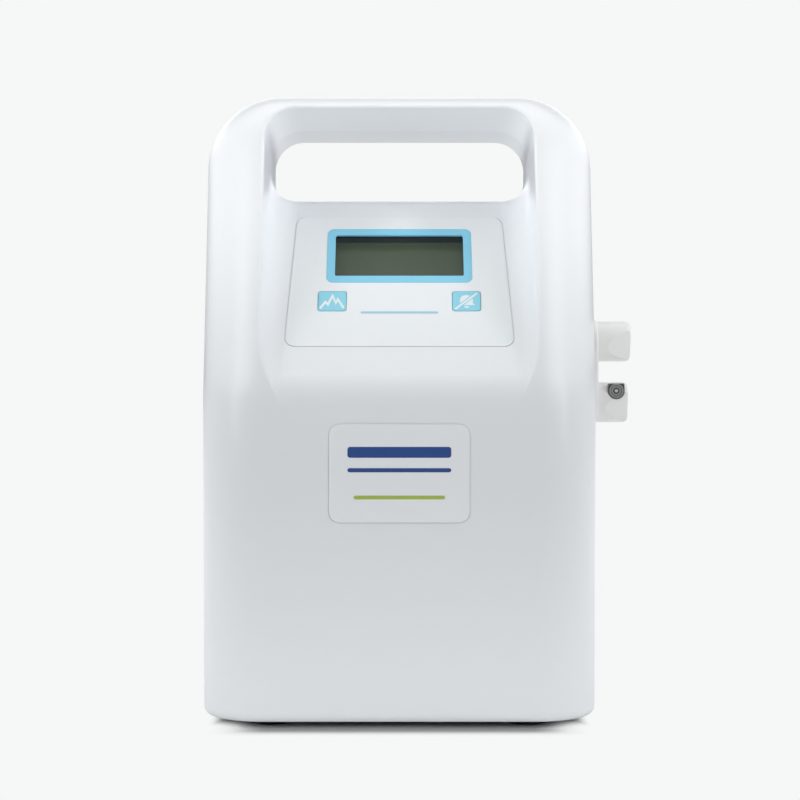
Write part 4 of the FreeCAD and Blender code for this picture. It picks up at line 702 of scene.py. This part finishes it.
def floor():
    me = bpy.data.meshes.new("studio_floor")
    s = 9.0
    bm = bmesh.new()
    vs = [bm.verts.new(p) for p in ((-s, -4, 0), (s, -4, 0), (s, 14, 0), (-s, 14, 0))]
    bm.faces.new(vs)
    bm.to_mesh(me)
    bm.free()
    ob = bpy.data.objects.new("studio_floor", me)
    scene.collection.objects.link(ob)
    t = Tree("floor_paper")
    t.set(Specular_IOR_Level=0.0)
    sep = t.n.new("ShaderNodeSeparateXYZ")
    t.link(t.pos, sep.inputs[0])
    near = t.n.new("ShaderNodeMapRange")
    near.interpolation_type = "SMOOTHSTEP"
    near.inputs["From Min"].default_value = -0.42
    near.inputs["From Max"].default_value = -0.19
    t.link(sep.outputs["Y"], near.inputs["Value"])
    paper = t.ramp(t.noise(3.0, 2.0), [(0.3, (0.848, 0.856, 0.852)), (0.7, (0.852, 0.860, 0.856))])
    # distance from the object's rounded footprint, and how far in front of it a point lies
    dx = t.math("MAXIMUM", t.math("SUBTRACT", t.math("ABSOLUTE", sep.outputs["X"]), 0.068), 0.0)
    dy = t.math("MAXIMUM", t.math("SUBTRACT", t.math("ABSOLUTE", t.math("SUBTRACT", sep.outputs["Y"], -0.002)), 0.030), 0.0)
    reach = t.math("SQRT", t.math("ADD", t.math("MULTIPLY", dx, dx), t.math("MULTIPLY", dy, dy)))
    away = t.math("SUBTRACT", reach, 0.024)
    ahead = t.math("DIVIDE", dy, t.math("MAXIMUM", reach, 0.0001))
    ahead = t.math("MULTIPLY", t.math("MULTIPLY", ahead, ahead), t.math("LESS_THAN", sep.outputs["Y"], 0.0))
    seen = t.n.new("ShaderNodeLightPath").outputs["Is Camera Ray"]
    # painted contact shadow: seen by the camera, the paper in front of the object is darkened towards black
    contact = t.n.new("ShaderNodeMapRange")
    contact.interpolation_type = "SMOOTHSTEP"
    contact.inputs["From Min"].default_value = 0.010
    contact.inputs["From Max"].default_value = 0.024
    contact.inputs["To Min"].default_value = 0.62
    contact.inputs["To Max"].default_value = 0.0
    t.link(away, contact.inputs["Value"])
    middle = t.n.new("ShaderNodeMapRange")
    middle.interpolation_type = "SMOOTHSTEP"
    middle.inputs["From Min"].default_value = 0.080
    middle.inputs["From Max"].default_value = 0.060
    t.link(t.math("ABSOLUTE", sep.outputs["X"]), middle.inputs["Value"])
    # painted shadow: how strongly the camera sees the paper darkened, from the contact mask, the side taper and the
    # front
    painted_shadow = t.math("MULTIPLY", t.math("MULTIPLY", contact.outputs["Result"], seen), t.math("MULTIPLY", ahead, middle.outputs["Result"]))
    paper = t.mix(painted_shadow, paper, (0.0, 0.0, 0.0))
    t.colour(t.mix(near.outputs["Result"], (0.26, 0.262, 0.261), paper))
    t.bsdf.inputs["Roughness"].default_value = 0.9
    # behind the object the paper sweeps up into the bright backdrop
    far = t.n.new("ShaderNodeMapRange")
    far.interpolation_type = "SMOOTHSTEP"
    far.inputs["From Min"].default_value = 0.12
    far.inputs["From Max"].default_value = 0.75
    t.link(sep.outputs["Y"], far.inputs["Value"])
    # seen directly, the paper is evenly bright from a short way round the object's foot outwards
    open_paper = t.n.new("ShaderNodeMapRange")
    open_paper.interpolation_type = "SMOOTHSTEP"
    t.link(t.math("MULTIPLY", ahead, 0.007), open_paper.inputs["From Min"])
    t.link(t.math("ADD", t.math("MULTIPLY", ahead, 0.020), 0.006), open_paper.inputs["From Max"])
    t.link(away, open_paper.inputs["Value"])
    corner = t.n.new("ShaderNodeMapRange")
    corner.interpolation_type = "SMOOTHSTEP"
    corner.inputs["From Min"].default_value = 0.068
    corner.inputs["From Max"].default_value = 0.088
    t.link(t.math("ABSOLUTE", sep.outputs["X"]), corner.inputs["Value"])
    front = t.n.new("ShaderNodeMapRange")
    front.inputs["From Min"].default_value = -0.040
    front.inputs["From Max"].default_value = -0.054
    t.link(sep.outputs["Y"], front.inputs["Value"])
    beside = t.n.new("ShaderNodeMapRange")
    beside.interpolation_type = "SMOOTHSTEP"
    beside.inputs["From Min"].default_value = 0.0825
    beside.inputs["From Max"].default_value = 0.0895
    t.link(t.math("ABSOLUTE", sep.outputs["X"]), beside.inputs["Value"])
    open_paper = t.math("MAXIMUM", open_paper.outputs["Result"], t.math("MULTIPLY", corner.outputs["Result"], front.outputs["Result"]))
    open_paper = t.math("MAXIMUM", open_paper, beside.outputs["Result"])
    bright = t.math("MAXIMUM", far.outputs["Result"], t.math("MULTIPLY", open_paper, seen))
    glow = t.n.new("ShaderNodeEmission")
    glow.inputs["Color"].default_value = (0.988, 1.0, 0.996, 1)
    glow.inputs["Strength"].default_value = 0.932
    # painted glow: the paper just in front of the object emits light for rays other than the camera's, standing in
    # for bounce light onto the object
    lap = t.n.new("ShaderNodeMapRange")
    lap.interpolation_type = "SMOOTHSTEP"
    lap.inputs["From Min"].default_value = -0.055
    lap.inputs["From Max"].default_value = -0.085
    t.link(sep.outputs["Y"], lap.inputs["Value"])
    lap = t.math("MULTIPLY", t.math("MULTIPLY", lap.outputs["Result"], near.outputs["Result"]), t.math("SUBTRACT", 1.0, seen))
    lift = t.n.new("ShaderNodeEmission")
    lift.inputs["Color"].default_value = (0.988, 1.0, 0.996, 1)
    t.link(t.math("MULTIPLY", lap, LAP), lift.inputs["Strength"])
    paper_light = t.n.new("ShaderNodeAddShader")
    t.link(t.bsdf.outputs["BSDF"], paper_light.inputs[0])
    t.link(lift.outputs["Emission"], paper_light.inputs[1])
    both = t.n.new("ShaderNodeMixShader")
    t.link(bright, both.inputs["Fac"])
    t.link(paper_light.outputs["Shader"], both.inputs[1])
    t.link(glow.outputs["Emission"], both.inputs[2])
    t.link(both.outputs["Shader"], t.out.inputs["Surface"])
    ob.data.materials.append(t.mat)
    return ob


ZONES = {"roof": 1.15, "front_low": 0.0, "front_mid": 0.0, "front_high": 0.0, "quarter_low": 0.0, "quarter_mid": 3.31, "quarter_high": 0.0, "side_low": 0.0, "side_mid": 1.48, "side_high": 1.25, "back_low": 0.0, "back_mid": 1.5, "back_high": 0.0}
BOXES = 0.8
SPOTS = 4.0
WINGS = 44.5
LAP = 0.08
WALLS = 14.5
world()
floor()
mid = (0.0, 0.0, 0.20)
softbox("key_left", (0.45, 0.8), (-1.25, -1.15, 1.05), mid, BOXES)
softbox("key_right", (0.45, 0.8), (1.25, -1.15, 1.05), mid, BOXES)
for x in (-0.55, 0.55):
    spot("console_%s" % ("left" if x < 0 else "right"), (x, -1.20, 0.95), (-x * 0.06, 0.0, 0.268), SPOTS, 13.0, 0.16)
for x in (-1.20, 1.20):
    spot("wall_%s" % ("left" if x < 0 else "right"), (x, -0.50, 0.262), (-x * 0.052, -0.010, 0.263), WALLS, 4.4, 0.06)
for x in (-1.065, 1.065):
    spot("wing_%s" % ("left" if x < 0 else "right"), (x, -0.746, 0.258), (-x * 0.052, 0.01, 0.276), WINGS, 7.6, 0.10)
scene.view_settings.view_transform = "Standard"
scene.view_settings.look = "None"
